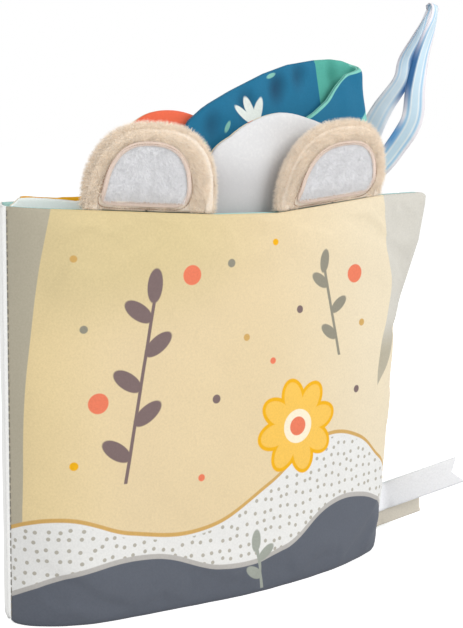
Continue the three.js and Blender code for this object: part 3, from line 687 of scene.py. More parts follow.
teal_columns = np.concatenate([
    edge_spaced(leaf_root(1)[0], LEAF_END, 70, 0.5)[:-1],
    [LEAF_END, LEAF_END + 0.5, LEAF_END + 1.0, LEAF_END + 1.5],
    np.linspace(LEAF_END + 2.5, LEAF_END + roll_length, 40),
])
# Puckers below the crest: place, radius and depth. The teal print also paints shade into each
# pucker
TEAL_DENTS = (
    ((124, 222), 6, 2.0), ((143.5, 230), 6.5, 2.4), ((157, 236), 5, 1.8), ((104, 213), 6, 1.5),
    ((179, 236), 4, 1.3),
)
teal_leaf = leaf(
    "teal_leaf", 1, teal_surface, teal_columns, teal_low, teal_top, teal_half,
    seed=43, pucker=1.0, dents=[(*place, radius, depth) for place, radius, depth in TEAL_DENTS]
    + [(133, 228, 5, -0.7), (150, 237, 4, -0.6), (114, 218, 5, -0.7)],
)


# Ears

def ear_matrix(side):
    """From an ear's own axes, millimetres, to the frame: its base lies on the hinge."""
    hinge = hinges[f"{side}_ear"]
    axis = Vector(hinge["axis"]).normalized()
    turn = math.atan2(axis.y, axis.x)
    roll = -math.asin(axis.z)
    matrix = Matrix.Rotation(turn, 4, "Z") @ Matrix.Rotation(roll, 4, "Y")
    matrix = matrix @ Matrix.Rotation(math.radians(EAR_LEAN), 4, "X")
    place = Vector(hinge["pos_m"]) / MM - Vector(FRAME_SHIFT)
    return Matrix.Translation(place) @ matrix @ Matrix.Translation((0, EAR_BASE_HALF, 0))


def moved(points, matrix):
    turn = np.array(matrix.to_3x3())
    return points @ turn.T + np.array(matrix.translation)


def ear_rim(share, scale, slant):
    """Where the ear's rim lies: share runs from the left base corner to the right one."""
    angle = math.pi * (1 - share)
    across = np.cos(angle)
    rise = np.sin(angle)
    power = 2.0 / EAR_ROUNDNESS
    x = np.sign(across) * np.abs(across) ** power * EAR_WIDTH / 2 * scale
    z = rise ** power * (EAR_HEIGHT * scale)
    return x + slant * z, z


# An ear's faces as rings from the seam inwards: scale of the outline, depth from the seam
EAR_SEAM_Y = -1.4
EAR_FRONT = (
    (0.84, 0), (0.885, -0.3), (0.905, -1.2), (0.895, -2.4), (0.85, -3.4), (0.74, -4.0), (0.5, -4.4),
    (0.2, -4.5), (0.02, -4.5),
)
EAR_BACK = (
    (0.84, 0), (0.91, 0.1), (0.975, 0.9), (0.995, 2.6), (0.965, 4.6), (0.87, 6.0), (0.66, 6.8),
    (0.35, 7.1), (0.02, 7.1),
)
EAR_FRONT_FOOT = 0.25
EAR_BACK_FOOT = 0.55
EAR_SEAM = 1.0
EAR_FOLD = 7.0
EAR_PROFILE_STEPS = 34
EAR_GROOVE_RINGS = 6
EAR_WALL_RINGS = 13
PATCH_FOOT = 4.4
PATCH_LIFT = 0.5
PLUSH_CLOTH = 1.4
PLUSH_SHRINK = 0.96
# Slant of the ear, how far its front is sewn to one side, the patch's middle and its two scales
EAR_SHAPES = {"left": (0.0, -2.4, -5.0, 0.6, 0.79), "right": (0.2, 0.6, -1.2, 0.66, 0.76)}


def smooth_profile(profile, count):
    """The profile's scale and depth at evenly spaced steps, with its corners rounded."""
    steps = np.linspace(0, len(profile) - 1, count)
    rows = np.array([np.interp(steps, range(len(profile)), k) for k in zip(*profile)])
    rows[:, 2:-2] = [np.convolve(k, np.ones(5) / 5, "valid") for k in rows]
    return rows


def ear_base(z, foot):
    """The ear thins towards its sewn base, to a share of its fullness."""
    return foot + (1 - foot) * ease(z / 11.0)


def ear_surface(profile, slant, aside, seed):
    """A plush face of the ear as a grid of places, from its seam inwards."""
    scale, depth = smooth_profile(profile, EAR_PROFILE_STEPS)
    a, s = np.meshgrid(np.linspace(1.0, 0.0, 81), scale, indexing="ij")
    d = np.broadcast_to(depth, a.shape)
    x, z = ear_rim(a, s, slant)
    base = ear_base(z, EAR_FRONT_FOOT if profile is EAR_FRONT else EAR_BACK_FOOT)
    lumps = 0.35 * waves(x, z, 13.0, seed) * (1 - np.clip(s, 0, 1) ** 6)
    return vec(x + aside, EAR_SEAM_Y + d * base + lumps, z)


def grid_faces(columns, rows):
    return [
        (i * rows + j, (i + 1) * rows + j, (i + 1) * rows + j + 1, i * rows + j + 1)
        for i in range(columns - 1) for j in range(rows - 1)
    ]


def ear_size(x, z, scales=(1.0, 1.0)):
    """Which scale of the ear's outline passes through a place."""
    across = np.abs(x / (EAR_WIDTH / 2 * scales[0]))
    up = np.clip(z, 0.0, None) / (EAR_HEIGHT * scales[1])
    return (across ** EAR_ROUNDNESS + up ** EAR_ROUNDNESS) ** (1 / EAR_ROUNDNESS)


def front_depth(x, z, slant, aside):
    """How far the front plush stands at a place on the ear."""
    scale, depth = smooth_profile(EAR_FRONT, EAR_PROFILE_STEPS)
    size = ear_size(x - aside - slant * z, z)
    face = np.interp(size, scale[:6:-1], depth[:6:-1])
    return EAR_SEAM_Y + face * ear_base(z, EAR_FRONT_FOOT)


def patch_places(shape, share, scale, grow=0.0):
    """Places of the patch's outline, or of smaller ones inside it."""
    slant, aside, middle, wide, high = shape
    x, z = ear_rim(share, 1.0, 0.0)
    x = x * (wide + grow) * scale
    z = z * (high + grow - PATCH_FOOT / EAR_HEIGHT) * scale + PATCH_FOOT - 40.0 * grow * scale
    return x + middle + slant * z, z


def patch_loop(shape, grow, lift):
    """A line round the patch with rounded corners, as places on the ear."""
    x, z = patch_places(shape, np.linspace(0.0, 1.0, 60), 1.0, grow)
    loop = vec(x, z)
    share = np.linspace(0.0, 1.0, 24)[1:-1, None]
    foot = loop[-1] + (loop[0] - loop[-1]) * share
    loop = np.concatenate([loop, foot])
    for _ in range(6):
        loop = (np.roll(loop, 1, axis=0) + 2 * loop + np.roll(loop, -1, axis=0)) / 4
    y = front_depth(loop[:, 0], loop[:, 1], shape[0], shape[1]) - lift * ear_base(loop[:, 1], 0.2)
    return vec(loop[:, 0], y, loop[:, 1])


# Geometry Nodes: stitches along a line, and pile on a surface

def geometry_tree(name, *inputs):
    """A tree that takes a geometry and inputs such as "Float Pitch", and its given sockets."""
    tree = bpy.data.node_groups.new(name, "GeometryNodeTree")
    for line in ("Geometry Geometry", *inputs):
        kind, label = line.split()
        tree.interface.new_socket(label, in_out="INPUT", socket_type=f"NodeSocket{kind}")
    tree.interface.new_socket("Geometry", in_out="OUTPUT", socket_type="NodeSocketGeometry")
    return tree, tree.nodes.new("NodeGroupInput").outputs


def ended(tree, geometry, material):
    """The tree with this geometry, in this material, as its result."""
    dressed = add(tree, "GeometryNodeSetMaterial", {"Geometry": geometry, "Material": material})
    tree.links.new(dressed.outputs[0], tree.nodes.new("NodeGroupOutput").inputs[0])
    return tree


def add(tree, kind, inputs=None, **settings):
    """A node with its settings, and its inputs joined to nodes or sockets, or set to values."""
    made = tree.nodes.new(kind)
    for key, value in settings.items():
        setattr(made, key, value)
    for key, value in (inputs or {}).items():
        if isinstance(value, bpy.types.Node):
            value = value.outputs[0]
        if isinstance(value, bpy.types.NodeSocket):
            tree.links.new(value, made.inputs[key])
        else:
            made.inputs[key].default_value = value
    return made


def stitch_tree():
    """Threads laid at an even pitch along a line, along it or, at full lay, across it."""
    tree, given = geometry_tree(
        "stitches", "Float Pitch", "Float Length", "Float Radius", "Vector Face", "Float Across",
        "Material Thread",
    )
    curve = add(tree, "GeometryNodeMeshToCurve", {"Mesh": given["Geometry"]})
    spread = add(tree, "GeometryNodeResampleCurve", {
        "Curve": curve, "Length": given["Pitch"],
    }, mode="LENGTH")
    tangent = add(tree, "GeometryNodeInputTangent")
    side = add(tree, "ShaderNodeVectorMath", {
        0: tangent, 1: given["Face"],
    }, operation="CROSS_PRODUCT")
    way = add(tree, "ShaderNodeMix", {
        "Factor": given["Across"], 4: tangent, 5: side,
    }, data_type="VECTOR")
    lay = add(tree, "FunctionNodeAlignRotationToVector", {"Vector": way.outputs[1]}, axis="Z")
    thread = add(tree, "GeometryNodeMeshCylinder", {
        "Vertices": 7, "Side Segments": 1, "Radius": given["Radius"], "Depth": given["Length"],
    })
    placed = add(tree, "GeometryNodeInstanceOnPoints", {
        "Points": spread, "Instance": thread.outputs["Mesh"], "Rotation": lay,
    })
    real = add(tree, "GeometryNodeRealizeInstances", {"Geometry": placed})
    smooth = add(tree, "GeometryNodeSetShadeSmooth", {"Geometry": real})
    return ended(tree, smooth, given["Thread"])


def pile_tree():
    """Short fibres on a surface, combed one way and drawn into soft tufts."""
    tree, given = geometry_tree(
        "pile", "Float Density", "Float Length", "Float Radius", "Vector Comb", "Float Tuft",
        "Int Seed", "Material Fibre",
    )

    def vector(operation, a, b):
        second = "Scale" if operation == "SCALE" else 1
        return add(tree, "ShaderNodeVectorMath", {0: a, second: b}, operation=operation)

    points = add(tree, "GeometryNodeDistributePointsOnFaces", {
        "Mesh": given["Geometry"], "Density": given["Density"], "Seed": given["Seed"],
    })
    tuft = add(tree, "ShaderNodeTexNoise", {
        "Vector": add(tree, "GeometryNodeInputPosition"), "Scale": 1 / (3.2 * MM), "Detail": 2.0,
    })
    centred = vector("SUBTRACT", tuft.outputs["Color"], (0.5, 0.5, 0.5))
    stray = add(tree, "FunctionNodeRandomValue", {
        0: (-0.35, -0.35, -0.35), 1: (0.35, 0.35, 0.35), "Seed": given["Seed"],
    }, data_type="FLOAT_VECTOR")
    lean = vector("ADD", vector("SCALE", centred, given["Tuft"]), given["Comb"])
    way = vector("ADD", points.outputs["Normal"], vector("ADD", lean, stray))
    turn = add(tree, "FunctionNodeAlignRotationToVector", {"Vector": way}, axis="Z")
    fibre = add(tree, "GeometryNodeMeshCone", {
        "Vertices": 3, "Side Segments": 1, "Radius Top": 0.0, "Radius Bottom": given["Radius"],
        "Depth": given["Length"],
    }, fill_type="TRIANGLE_FAN")
    size = add(tree, "FunctionNodeRandomValue", {2: 0.6, 3: 1.15, "Seed": given["Seed"]})
    placed = add(tree, "GeometryNodeInstanceOnPoints", {
        "Points": points.outputs["Points"], "Instance": fibre.outputs["Mesh"], "Rotation": turn,
        "Scale": size.outputs[1],
    })
    real = add(tree, "GeometryNodeRealizeInstances", {"Geometry": placed})
    return ended(tree, real, given["Fibre"])


def grown(source, tree, name, values):
    """The plain mesh that a tree makes from an object. The source is used up."""
    modifier = source.modifiers.new("growth", "NODES")
    modifier.node_group = tree
    sockets = {s.name: s.identifier for s in tree.interface.items_tree if s.in_out == "INPUT"}
    for label, value in values.items():
        modifier[sockets[label]] = value
    bpy.context.view_layer.update()
    evaluated = source.evaluated_get(bpy.context.evaluated_depsgraph_get())
    mesh = bpy.data.meshes.new_from_object(evaluated)
    mesh.name = name
    bpy.data.objects.remove(source)
    return in_scene(name, mesh)


def line_object(points, closed=False):
    """A line of edges through points given in millimetres."""
    count = len(points)
    edges = [(i, i + 1) for i in range(count - 1)] + ([(count - 1, 0)] if closed else [])
    return mesh_object("line", (np.asarray(points, float) + FRAME_SHIFT) * MM, edges, [])


STITCHES = stitch_tree()
PILE = pile_tree()


def stitches(
    name, points, pitch, length, radius, thread, face=(0, -1, 0), across=0.0, closed=False,
):
    return grown(line_object(points, closed), STITCHES, name, {
        "Pitch": pitch * MM, "Length": length * MM, "Radius": radius * MM, "Face": face,
        "Across": across, "Thread": thread,
    })


def pile(name, places, faces, density, length, radius, comb, tuft, seed, fibre):
    return grown(new_object(f"{name}_ground", places, faces), PILE, name, {
        "Density": density / MM ** 2, "Length": length * MM, "Radius": radius * MM, "Comb": comb,
        "Tuft": tuft, "Seed": seed, "Fibre": fibre,
    })


# Materials

def linear(hexa):
    """A screen colour such as #e4d3a8 as linear red, green, blue and alpha."""
    values = [int(hexa[k:k + 2], 16) / 255 for k in (1, 3, 5)]
    return (*[c / 12.92 if c <= 0.04045 else ((c + 0.055) / 1.055) ** 2.4 for c in values], 1.0)


class Finish:
    """A material in the making: sums of sockets, masks and layers of colour."""

    def __init__(self, name, hexa, roughness=0.85, sheen=0.0):
        self.material = bpy.data.materials.new(name)
        self.material.use_nodes = True
        self.tree = self.material.node_tree
        self.shader = self.tree.nodes["Principled BSDF"]
        for key, value in (
            ("Roughness", roughness), ("Specular IOR Level", 0.25), ("Sheen Weight", sheen),
            ("Sheen Roughness", 0.5),
        ):
            self.shader.inputs[key].default_value = value
        self.object = add(self.tree, "ShaderNodeTexCoord").outputs["Object"]
        uv = add(self.tree, "ShaderNodeUVMap", uv_map="flat")
        self.flat = add(self.tree, "ShaderNodeVectorMath", {
            0: uv, "Scale": 1 / MM,
        }, operation="SCALE").outputs[0]
        self.u, self.v = add(self.tree, "ShaderNodeSeparateXYZ", {0: self.flat}).outputs[:2]
        self.colour = linear(hexa)

    def sum(self, operation, a, b=0.0, c=0.0):
        return add(self.tree, "ShaderNodeMath", {0: a, 1: b, 2: c}, operation=operation).outputs[0]

    def fade(self, value, edge0, edge1):
        """1 where the value is past edge1, 0 before edge0. The edges may be in either order."""
        return add(self.tree, "ShaderNodeMapRange", {
            "Value": value, "From Min": edge0, "From Max": edge1,
        }, interpolation_type="SMOOTHSTEP").outputs[0]

    def noise(self, length, detail=2.0):
        """Noise from 0 to 1 with lumps of a length in millimetres."""
        return add(self.tree, "ShaderNodeTexNoise", {
            "Vector": self.object, "Scale": 1 / (length * MM), "Detail": detail,
        }).outputs["Fac"]

    def bump(self, height, strength, distance):
        """Raises the surface by a height, over a distance in millimetres."""
        made = add(self.tree, "ShaderNodeBump", {
            "Height": height, "Strength": strength, "Distance": distance * MM,
        })
        self.tree.links.new(made.outputs[0], self.shader.inputs["Normal"])

    def lay(self, mask, hexa, share=1.0):
        """Lays a colour over what is there, or a share of it, where the mask is 1."""
        colour = hexa if isinstance(hexa, bpy.types.NodeSocket) else linear(hexa)
        mask = mask if share == 1.0 else self.sum("MULTIPLY", mask, share)
        self.colour = add(self.tree, "ShaderNodeMix", {
            0: mask, 6: self.colour, 7: colour,
        }, data_type="RGBA").outputs[2]

    def shade_by(self, value, low, high):
        """Darkens and lightens the colour by a value from 0 to 1."""
        factor = add(self.tree, "ShaderNodeMapRange", {
            "Value": value, "To Min": low, "To Max": high,
        }).outputs[0]
        self.colour = add(self.tree, "ShaderNodeMix", {
            0: 1.0, 6: self.colour, 7: factor,
        }, data_type="RGBA", blend_type="MULTIPLY").outputs[2]

    def ellipse(self, centre, radii, turn=0.0, soft=0.25):
        """Inside an ellipse on the flat cloth, in millimetres and degrees."""
        du = self.sum("SUBTRACT", self.u, centre[0])
        dv = self.sum("SUBTRACT", self.v, centre[1])
        c, s = math.cos(math.radians(turn)), math.sin(math.radians(turn))
        a = self.sum("MULTIPLY_ADD", du, c, self.sum("MULTIPLY", dv, s))
        b = self.sum("MULTIPLY_ADD", du, -s, self.sum("MULTIPLY", dv, c))
        a, b = self.sum("DIVIDE", a, radii[0]), self.sum("DIVIDE", b, radii[1])
        size = self.sum("SQRT", self.sum("MULTIPLY_ADD", a, a, self.sum("MULTIPLY", b, b)))
        edge = soft / min(radii)
        return self.fade(size, 1 + edge, 1 - edge)

    def line(self, points, along=None, span=COVER_LENGTH, reach=COVER_HEIGHT):
        """A smooth line through points, as a socket in millimetres: how high it is over u."""
        value = self.u if along is None else along
        curve = add(self.tree, "ShaderNodeFloatCurve", {"Value": self.sum("DIVIDE", value, span)})
        held = curve.mapping.curves[0].points
        places = [(a / span, b / reach) for a, b in points]
        held[0].location, held[-1].location = places[0], places[-1]
        for place in places[1:-1]:
            held.new(*place)
        curve.mapping.update()
        return self.sum("MULTIPLY", curve.outputs[0], reach)

    def under(self, line, soft=0.25):
        """Below a line."""
        return self.fade(self.sum("SUBTRACT", self.v, line), soft, -soft)

    def between(self, value, low, high, soft=0.25):
        return self.both(
            self.fade(value, low - soft, low + soft), self.fade(value, high + soft, high - soft))

    def joined(self, operation, masks):
        result = masks[0]
        for mask in masks[1:]:
            result = self.sum(operation, result, mask)
        return result

    def both(self, *masks):
        return self.joined("MULTIPLY", masks)

    def either(self, *masks):
        return self.joined("MAXIMUM", masks)

    def dots(self, pitch, radius, chance=0.45):
        """Small dots scattered over the cloth."""
        cells = add(self.tree, "ShaderNodeTexVoronoi", {
            "Vector": self.flat, "Scale": 1 / pitch, "Randomness": chance,
        }, voronoi_dimensions="2D")
        edge = 0.18 / pitch
        return self.fade(cells.outputs["Distance"], radius / pitch + edge, radius / pitch - edge)

    def weave(self, pitch=0.55, strength=0.25, grain=0.11):
        """A plain weave with soft unevenness, as bump and as a trace of shade."""
        warp = self.sum("SINE", self.sum("MULTIPLY", self.u, math.tau / pitch))
        weft = self.sum("SINE", self.sum("MULTIPLY", self.v, math.tau / pitch))
        threads = self.sum("MULTIPLY", warp, weft)
        slub = self.noise(0.85, 3.0)
        height = self.sum("MULTIPLY_ADD", threads, 0.35, self.sum("MULTIPLY", slub, 1.6))
        self.bump(height, strength, 0.1)
        self.shade_by(slub, 1 - grain, 1 + grain)
        self.shade_by(self.noise(28.0, 1.0), 0.97, 1.03)

    def thin(self, share):
        """Lets a share of the light through."""
        glow = add(self.tree, "ShaderNodeBsdfTranslucent", {"Color": self.colour})
        both = add(self.tree, "ShaderNodeMixShader", {0: share, 1: self.shader, 2: glow})
        self.tree.links.new(both.outputs[0], self.tree.nodes["Material Output"].inputs["Surface"])

    def done(self):
        if isinstance(self.colour, bpy.types.NodeSocket):
            self.tree.links.new(self.colour, self.shader.inputs["Base Color"])
        else:
            self.shader.inputs["Base Color"].default_value = self.colour
        return self.material


CREAM = "#ddc9a2"
TAUPE = "#b0a996"
SLATE = "#5a5f69"
MUSTARD = "#e8ac07"
CORAL = "#e2795a"
MAUVE = "#786665"
STONE = "#8d897a"
CARAMEL = "#c9a25f"
DOTTED = "#e0e0de"
DOT = "#aeaa9f"
TEAL = "#0b678c"
MINT = "#4fa697"
AQUA = "#b0dcd8"
STRIP = "#fbfbf9"


def sprig(finish, foot, tip, count, leaf_size, colour, berries):
    """A printed twig: a thin stem, oval leaves on both sides in turn, and round berries."""
    rise, run = tip[1] - foot[1], tip[0] - foot[0]
    slope = run / rise
    middle = finish.sum("MULTIPLY_ADD", finish.v, slope, foot[0] - slope * foot[1])
    off = finish.sum("ABSOLUTE", finish.sum("SUBTRACT", finish.u, middle))
    stem = finish.both(finish.between(finish.v, foot[1], tip[1]), finish.fade(off, 1.0, 0.6))
    leaf_radii = (leaf_size, leaf_size * 0.48)
    top = (tip[0] + 0.3 * slope, tip[1] + leaf_size * 0.6)
    masks = [stem, finish.ellipse(top, leaf_radii, 84)]
    for k in range(count):
        share = (k + 0.7) / (count + 0.4)
        side = 1 if k % 2 else -1
        u = foot[0] + run * share + side * leaf_size * 0.78
        v = foot[1] + rise * share + leaf_size * 0.55
        masks.append(finish.ellipse((u, v), leaf_radii, 90 - side * 55))
    finish.lay(finish.either(*masks), colour)
    for place in berries:
        finish.lay(finish.ellipse(place, (4.4, 4.4)), CORAL)


def flower(finish, centre, petals, radius):
    """A round flower with pale rims, a cream middle and a coral heart."""
    def disc(share):
        return finish.ellipse(centre, (share * radius, share * radius))

    rims, masks = [], []
    for k in range(petals):
        turn = k * math.tau / petals + 0.2
        ways = (math.cos(turn), math.sin(turn))
        place = [middle + 0.6 * radius * way for middle, way in zip(centre, ways)]
        for group, long, wide in ((masks, 0.44, 0.31), (rims, 0.36, 0.23)):
            radii = (long * radius, wide * radius)
            group.append(finish.ellipse(place, radii, math.degrees(turn)))
    finish.lay(finish.either(*masks), MUSTARD)
    finish.lay(finish.either(*rims), "#f6dc8c", 0.35)
    finish.lay(disc(0.36), "#f1e6cc")
    finish.lay(disc(0.2), CORAL)


def cover_print():
    """Hills under a wide sky, with a flower, two twigs and scattered seeds."""
    finish = Finish("printed_cover_cotton", CREAM, roughness=0.75, sheen=0.05)
    lay, fade, both, under, line = finish.lay, finish.fade, finish.both, finish.under, finish.line
    # Painted light on the cream: more saturated at the left, darker at the top left, paler towards
    # the right and palest at the free edge, as the light falls from the right
    lay(fade(finish.u, 60, 10), "#e0cb9b")
    lay(finish.ellipse((46, 168), (60, 34), 0, 20), "#d2c092")
    lay(fade(finish.u, 110, 205), "#e2d5ba")
    lay(fade(finish.u, 204, 216), "#e8ddc8")
    cream = finish.colour
    finish.colour = linear(TAUPE)
    left, right = (line(points, finish.v, COVER_HEIGHT, COVER_LENGTH) for points in (
        ((0, 8), (60, 9.5), (98, 10.5), (125, 13), (150, 15.8), (166, 18.6), (180, 21.4)),
        ((0, 215), (80, 194), (104, 195), (118, 198.5), (134, 201), (148, 198.6), (165, 196.6),
         (180, 195.6)),
    ))
    hem = line(((0, 20), (185, 76), (197, 90), (211, 108), (219, 113), (226, 116)))
    past_left = fade(finish.sum("SUBTRACT", finish.u, left), -0.2, 0.2)
    before_right = fade(finish.sum("SUBTRACT", finish.u, right), 0.2, -0.2)
    # Painted light: the taupe margin on the upper right is paler, as the light comes from the right
    lay(both(fade(finish.u, 110, 190), fade(finish.v, 100, 120)), "#cbc8bf")
    lay(both(past_left, finish.either(before_right, under(hem))), cream)
    band = line((
        (0, 40), (25, 46), (55, 37), (88, 34), (124, 49), (156, 66), (180, 62), (196, 49),
        (210, 36), (226, 26),
    ))
    lay(under(finish.sum("ADD", band, 1.8)), CARAMEL)
    lay(under(band), DOTTED)
    lay(both(under(finish.sum("SUBTRACT", band, 1.2)), finish.dots(4.6, 0.85)), DOT)
    hill = line((
        (0, 10), (34, 23), (66, 25), (100, 15), (132, 18), (162, 33), (184, 32), (200, 25),
        (213, 17), (226, 12),
    ))
    lay(under(finish.sum("ADD", hill, 2.2)), "#b3b0ac")
    lay(under(hill), SLATE)
    sprig(finish, (52, 60), (66, 140), 5, 7.6, MAUVE, berries=((84, 148), (40, 96)))
    sprig(finish, (166, 104), (157, 146), 3, 5.6, STONE, berries=((176, 142),))
    flower(finish, (140, 74), petals=8, radius=22.0)
    sprig(finish, (120, 2), (116, 22), 2, 5.0, "#9ba097", berries=())
    for place, size, colour in (
        ((104, 152), 1.9, STONE), ((112, 118), 1.6, CARAMEL), ((96, 92), 2.0, MAUVE),
        ((126, 106), 1.5, CORAL), ((181, 118), 1.7, CARAMEL), ((178, 86), 1.8, MAUVE),
        ((34, 128), 1.7, STONE), ((30, 158), 1.5, CARAMEL), ((88, 58), 1.6, CORAL),
        ((142, 128), 1.8, MAUVE), ((128, 160), 1.5, MUSTARD), ((30, 70), 1.8, MUSTARD),
    ):
        lay(finish.ellipse(place, (size, size)), colour)
    lay(fade(finish.u, 2.9, 2.6), STRIP)
    finish.weave()
    return finish.done()


def plain_cotton(name, hexa, dots=None, pitch=6.0, radius=0.9):
    finish = Finish(name, hexa, sheen=0.05)
    if dots:
        finish.lay(finish.dots(pitch, radius), dots)
    finish.weave()
    return finish.done()


def teal_print(name, mint_end):
    """Deep blue-green cotton with a mint end or hem, small dashes and pale petals, and painted
    shade in the puckers.
    """
    finish = Finish(name, TEAL, roughness=0.75, sheen=0.05)
    lay, fade, ellipse = finish.lay, finish.fade, finish.ellipse
    lay(finish.noise(13.0, 2.0), "#317c9c", 0.25)
    # Painted shade in the puckers, darker where they are deeper
    for place, radius, depth in TEAL_DENTS:
        lay(ellipse(place, (0.6 * radius, radius), -20, 3.5), "#06405e", 0.36 * depth)
    if mint_end:
        lay(fade(finish.u, 168, 168.5), MINT)
        # Painted shade in the pucker inside the roll, on the mint end
        lay(ellipse((179, 236), (3, 8), 0, 3.0), "#2c7f70", 0.6)
    else:
        low_corner = finish.sum("MULTIPLY_ADD", finish.u, 1.1, finish.v)
        lay(finish.both(fade(finish.u, 190, 191), fade(low_corner, 437, 436.5)), "#7fc6be")
    for centre, turn in (
        ((112, 212), 60), ((141, 236), 20), ((98, 203), 70), ((166, 208), 10), ((82, 150), 30),
    ):
        lay(ellipse(centre, (3.0, 1.0), turn), "#7fbcae")
    for turn in (70, 105, 140):
        way = math.radians(turn)
        place = (128 + 7 * math.cos(way), 213 + 7 * math.sin(way))
        lay(ellipse(place, (6.4, 2.1), turn), "#e3e9e4")
    crest = [(0, COVER_HEIGHT), (LEAF_END - 2, COVER_HEIGHT + TEAL_RISE)]
    for share, rise in TEAL_FLAP:
        crest.append((LEAF_END + share * roll_length, COVER_HEIGHT + TEAL_RISE * rise))
    top = finish.line(crest, None, LEAF_END + roll_length, 260.0)
    hem = fade(finish.sum("SUBTRACT", top, finish.v), 1.3, 1.0)
    lay(finish.both(hem, fade(finish.u, LEAF_END + 4, LEAF_END + 6)), "#7cc5b6")
    finish.weave()
    return finish.done()


def page_print():
    """White brushed cotton, pale mint towards the spine, with painted shade low on the dome."""
    finish = Finish("white_page_cotton", "#d9d9da", roughness=0.9, sheen=0.2)
    finish.lay(finish.fade(finish.noise(1.6, 3.0), 0.4, 0.8), "#e0e0e0")
    finish.lay(finish.fade(finish.u, 96, 80), "#f8fcf9")
    # Painted shade: darker grey low on the dome, just above the cover's top edge, where the ears
    # and cover shade it
    low = finish.both(finish.fade(finish.v, 204, 184), finish.between(finish.u, 92, 178, 8))
    finish.lay(low, "#bbbabb", 0.7)
    finish.weave(0.8, 0.2, 0.04)
    return finish.done()


def plush(name, hexa, light, through):
    """Soft pile that lets light through: the fibres differ a little in shade."""
    finish = Finish(name, hexa, roughness=0.95, sheen=0.3)
    finish.lay(finish.fade(finish.noise(0.7, 2.0), 0.4, 0.8), light)
    finish.shade_by(finish.noise(4.0, 2.0), 0.93, 1.04)
    finish.shade_by(finish.noise(1.2, 3.0), 0.86, 1.1)
    finish.thin(through)
    return finish.done()


def satin(length):
    """Striped ribbon: bands along it, a fine rib across, painted deeper blue shade where it folds
    inwards, and a painted paler tone on the strand from the foot where light shines through.
    """
    finish = Finish("striped_satin", "#c6deec", roughness=0.42, sheen=0.1)
    lay, fade, between = finish.lay, finish.fade, finish.between
    across = finish.sum("ABSOLUTE", finish.v)
    lay(between(across, 1.7, 2.5, 0.4), "#e3ecf0")
    lay(between(across, 2.9, 3.7, 0.4), "#a2c9e6")
    lay(fade(across, 3.9, 4.7), "#ebe7ec")
    # Painted light: the strand from the foot is paler, as if lit through
    lay(fade(finish.u, 80, 50), "#e9f2f6", 0.5)
    # Painted shade: deep blue where the strands fold inwards and one lies behind the other
    for edge, start, end, soft, colour in (
        ((2.0, 4.6), 52, 84, 7, "#2a629b"),
        ((-1.8, -3.6), length - 82, length - 52, 11, "#235c90"),
        ((-1.5, -4.5), length - 38, length - 22, 7, "#5f9bd0"),
    ):
        lay(finish.both(fade(finish.v, *edge), between(finish.u, start, end, soft)), colour)
    rib = finish.sum("SINE", finish.sum("MULTIPLY", finish.u, math.tau / 0.5))
    finish.bump(rib, 0.15, 0.05)
    finish.shade_by(finish.noise(5.0, 2.0), 0.94, 1.05)
    return finish.done()


def thread(name, hexa):
    finish = Finish(name, hexa, roughness=0.55, sheen=0.1)
    finish.shade_by(finish.noise(0.5, 2.0), 0.85, 1.08)
    return finish.done()


def crackle():
    finish = Finish("crackle_film", "#e6ecee", roughness=0.25)
    finish.bump(finish.noise(3.0, 3.0), 0.6, 0.5)
    return finish.done()


def wadding():
    finish = Finish("polyester_wadding", "#f2f0ea", roughness=1.0, sheen=0.2)
    finish.shade_by(finish.noise(1.5, 4.0), 0.85, 1.05)
    finish.bump(finish.noise(0.9, 4.0), 0.8, 0.4)
    return finish.done()


def label_satin():
    finish = Finish("label_satin", "#f1f2f5", roughness=0.45)
    finish.weave(0.4, 0.15)
    return finish.done()


cover_cotton = cover_print()
back_cotton = plain_cotton("back_cover_cotton", "#cbc5b8", "#e9e3d2", 11.0, 1.6)
aqua_cotton = plain_cotton("aqua_cotton", AQUA)
white_cotton = page_print()
coral_cotton = plain_cotton("coral_cotton", "#ea6b4b")
cream_cotton = plain_cotton("cream_dot_cotton", "#efe2c2", CORAL, 14.0, 1.6)
yellow_cotton = plain_cotton("yellow_cotton", "#f8ba1c")
strip_cotton = plain_cotton("spine_cotton", STRIP)
teal_cotton = teal_print("teal_print_cotton", True)
teal_back_cotton = teal_print("teal_back_cotton", False)
ear_plush = plush("beige_plush", "#ecdfce", "#f4ebdf", 0.0)
ear_nap = plush("beige_plush_nap", "#fff8ef", "#fffdf8", 0.62)
# Painted shade: the nap in the seam's groove has a darker colour
groove_shade_nap = plush("beige_plush_seam_shade", "#e0c9ac", "#e9d6bd", 0.4)
patch_plush = plush("pale_plush", "#ededee", "#f6f6f6", 0.0)
patch_nap = plush("pale_plush_nap", "#fbfbfc", "#ffffff", 0.62)
film_finish = crackle()
wadding_finish = wadding()
dark_thread = thread("grey_thread", "#8f8c84")
border_thread = thread("rose_beige_thread", "#e6d3c6")
brown_thread = thread("brown_thread", "#ac8a70")
label_white = label_satin()
label_beige = plain_cotton("label_tape", "#d9d2c4")


def dress(piece, material):
    piece.data.materials.clear()
    piece.data.materials.append(material)


def stand_in(piece, node, body, slot, material):
    """A piece that moves with a body and stands for a CAD node."""
    dress(piece, material)
    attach(piece, body)
    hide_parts(node)


def sewn(piece, node, body, slot, material):
    """A sheet of cloth."""
    stand_in(piece, node, body, slot, material)


def stuffed(piece, node, body):
    stand_in(piece, node, body, "wadding", wadding_finish)


# Covers and leaves take their cloth

for name, pieces, length, slot, material in (
    ("front_cover", front_cover, COVER_LENGTH, "cream_cotton", cover_cotton),
    ("back_cover", back_cover, BACK_LENGTH, "taupe_cotton", back_cotton),
):
    flat = (length, COVER_HEIGHT)
    sewn(pieces["panel"], f"{name}_panel", name, slot, material)
    sewn(pieces["lining"], f"{name}_lining", name, "aqua_cotton", aqua_cotton)
    sewn(pieces["film"], f"{name}_film", name, "crinkle_film", film_finish)
    stuffed(pieces["wadding"], f"{name}_wadding", name)

sewn(spine_strip(), "spine_strip", "spine", "spine_cotton", strip_cotton)

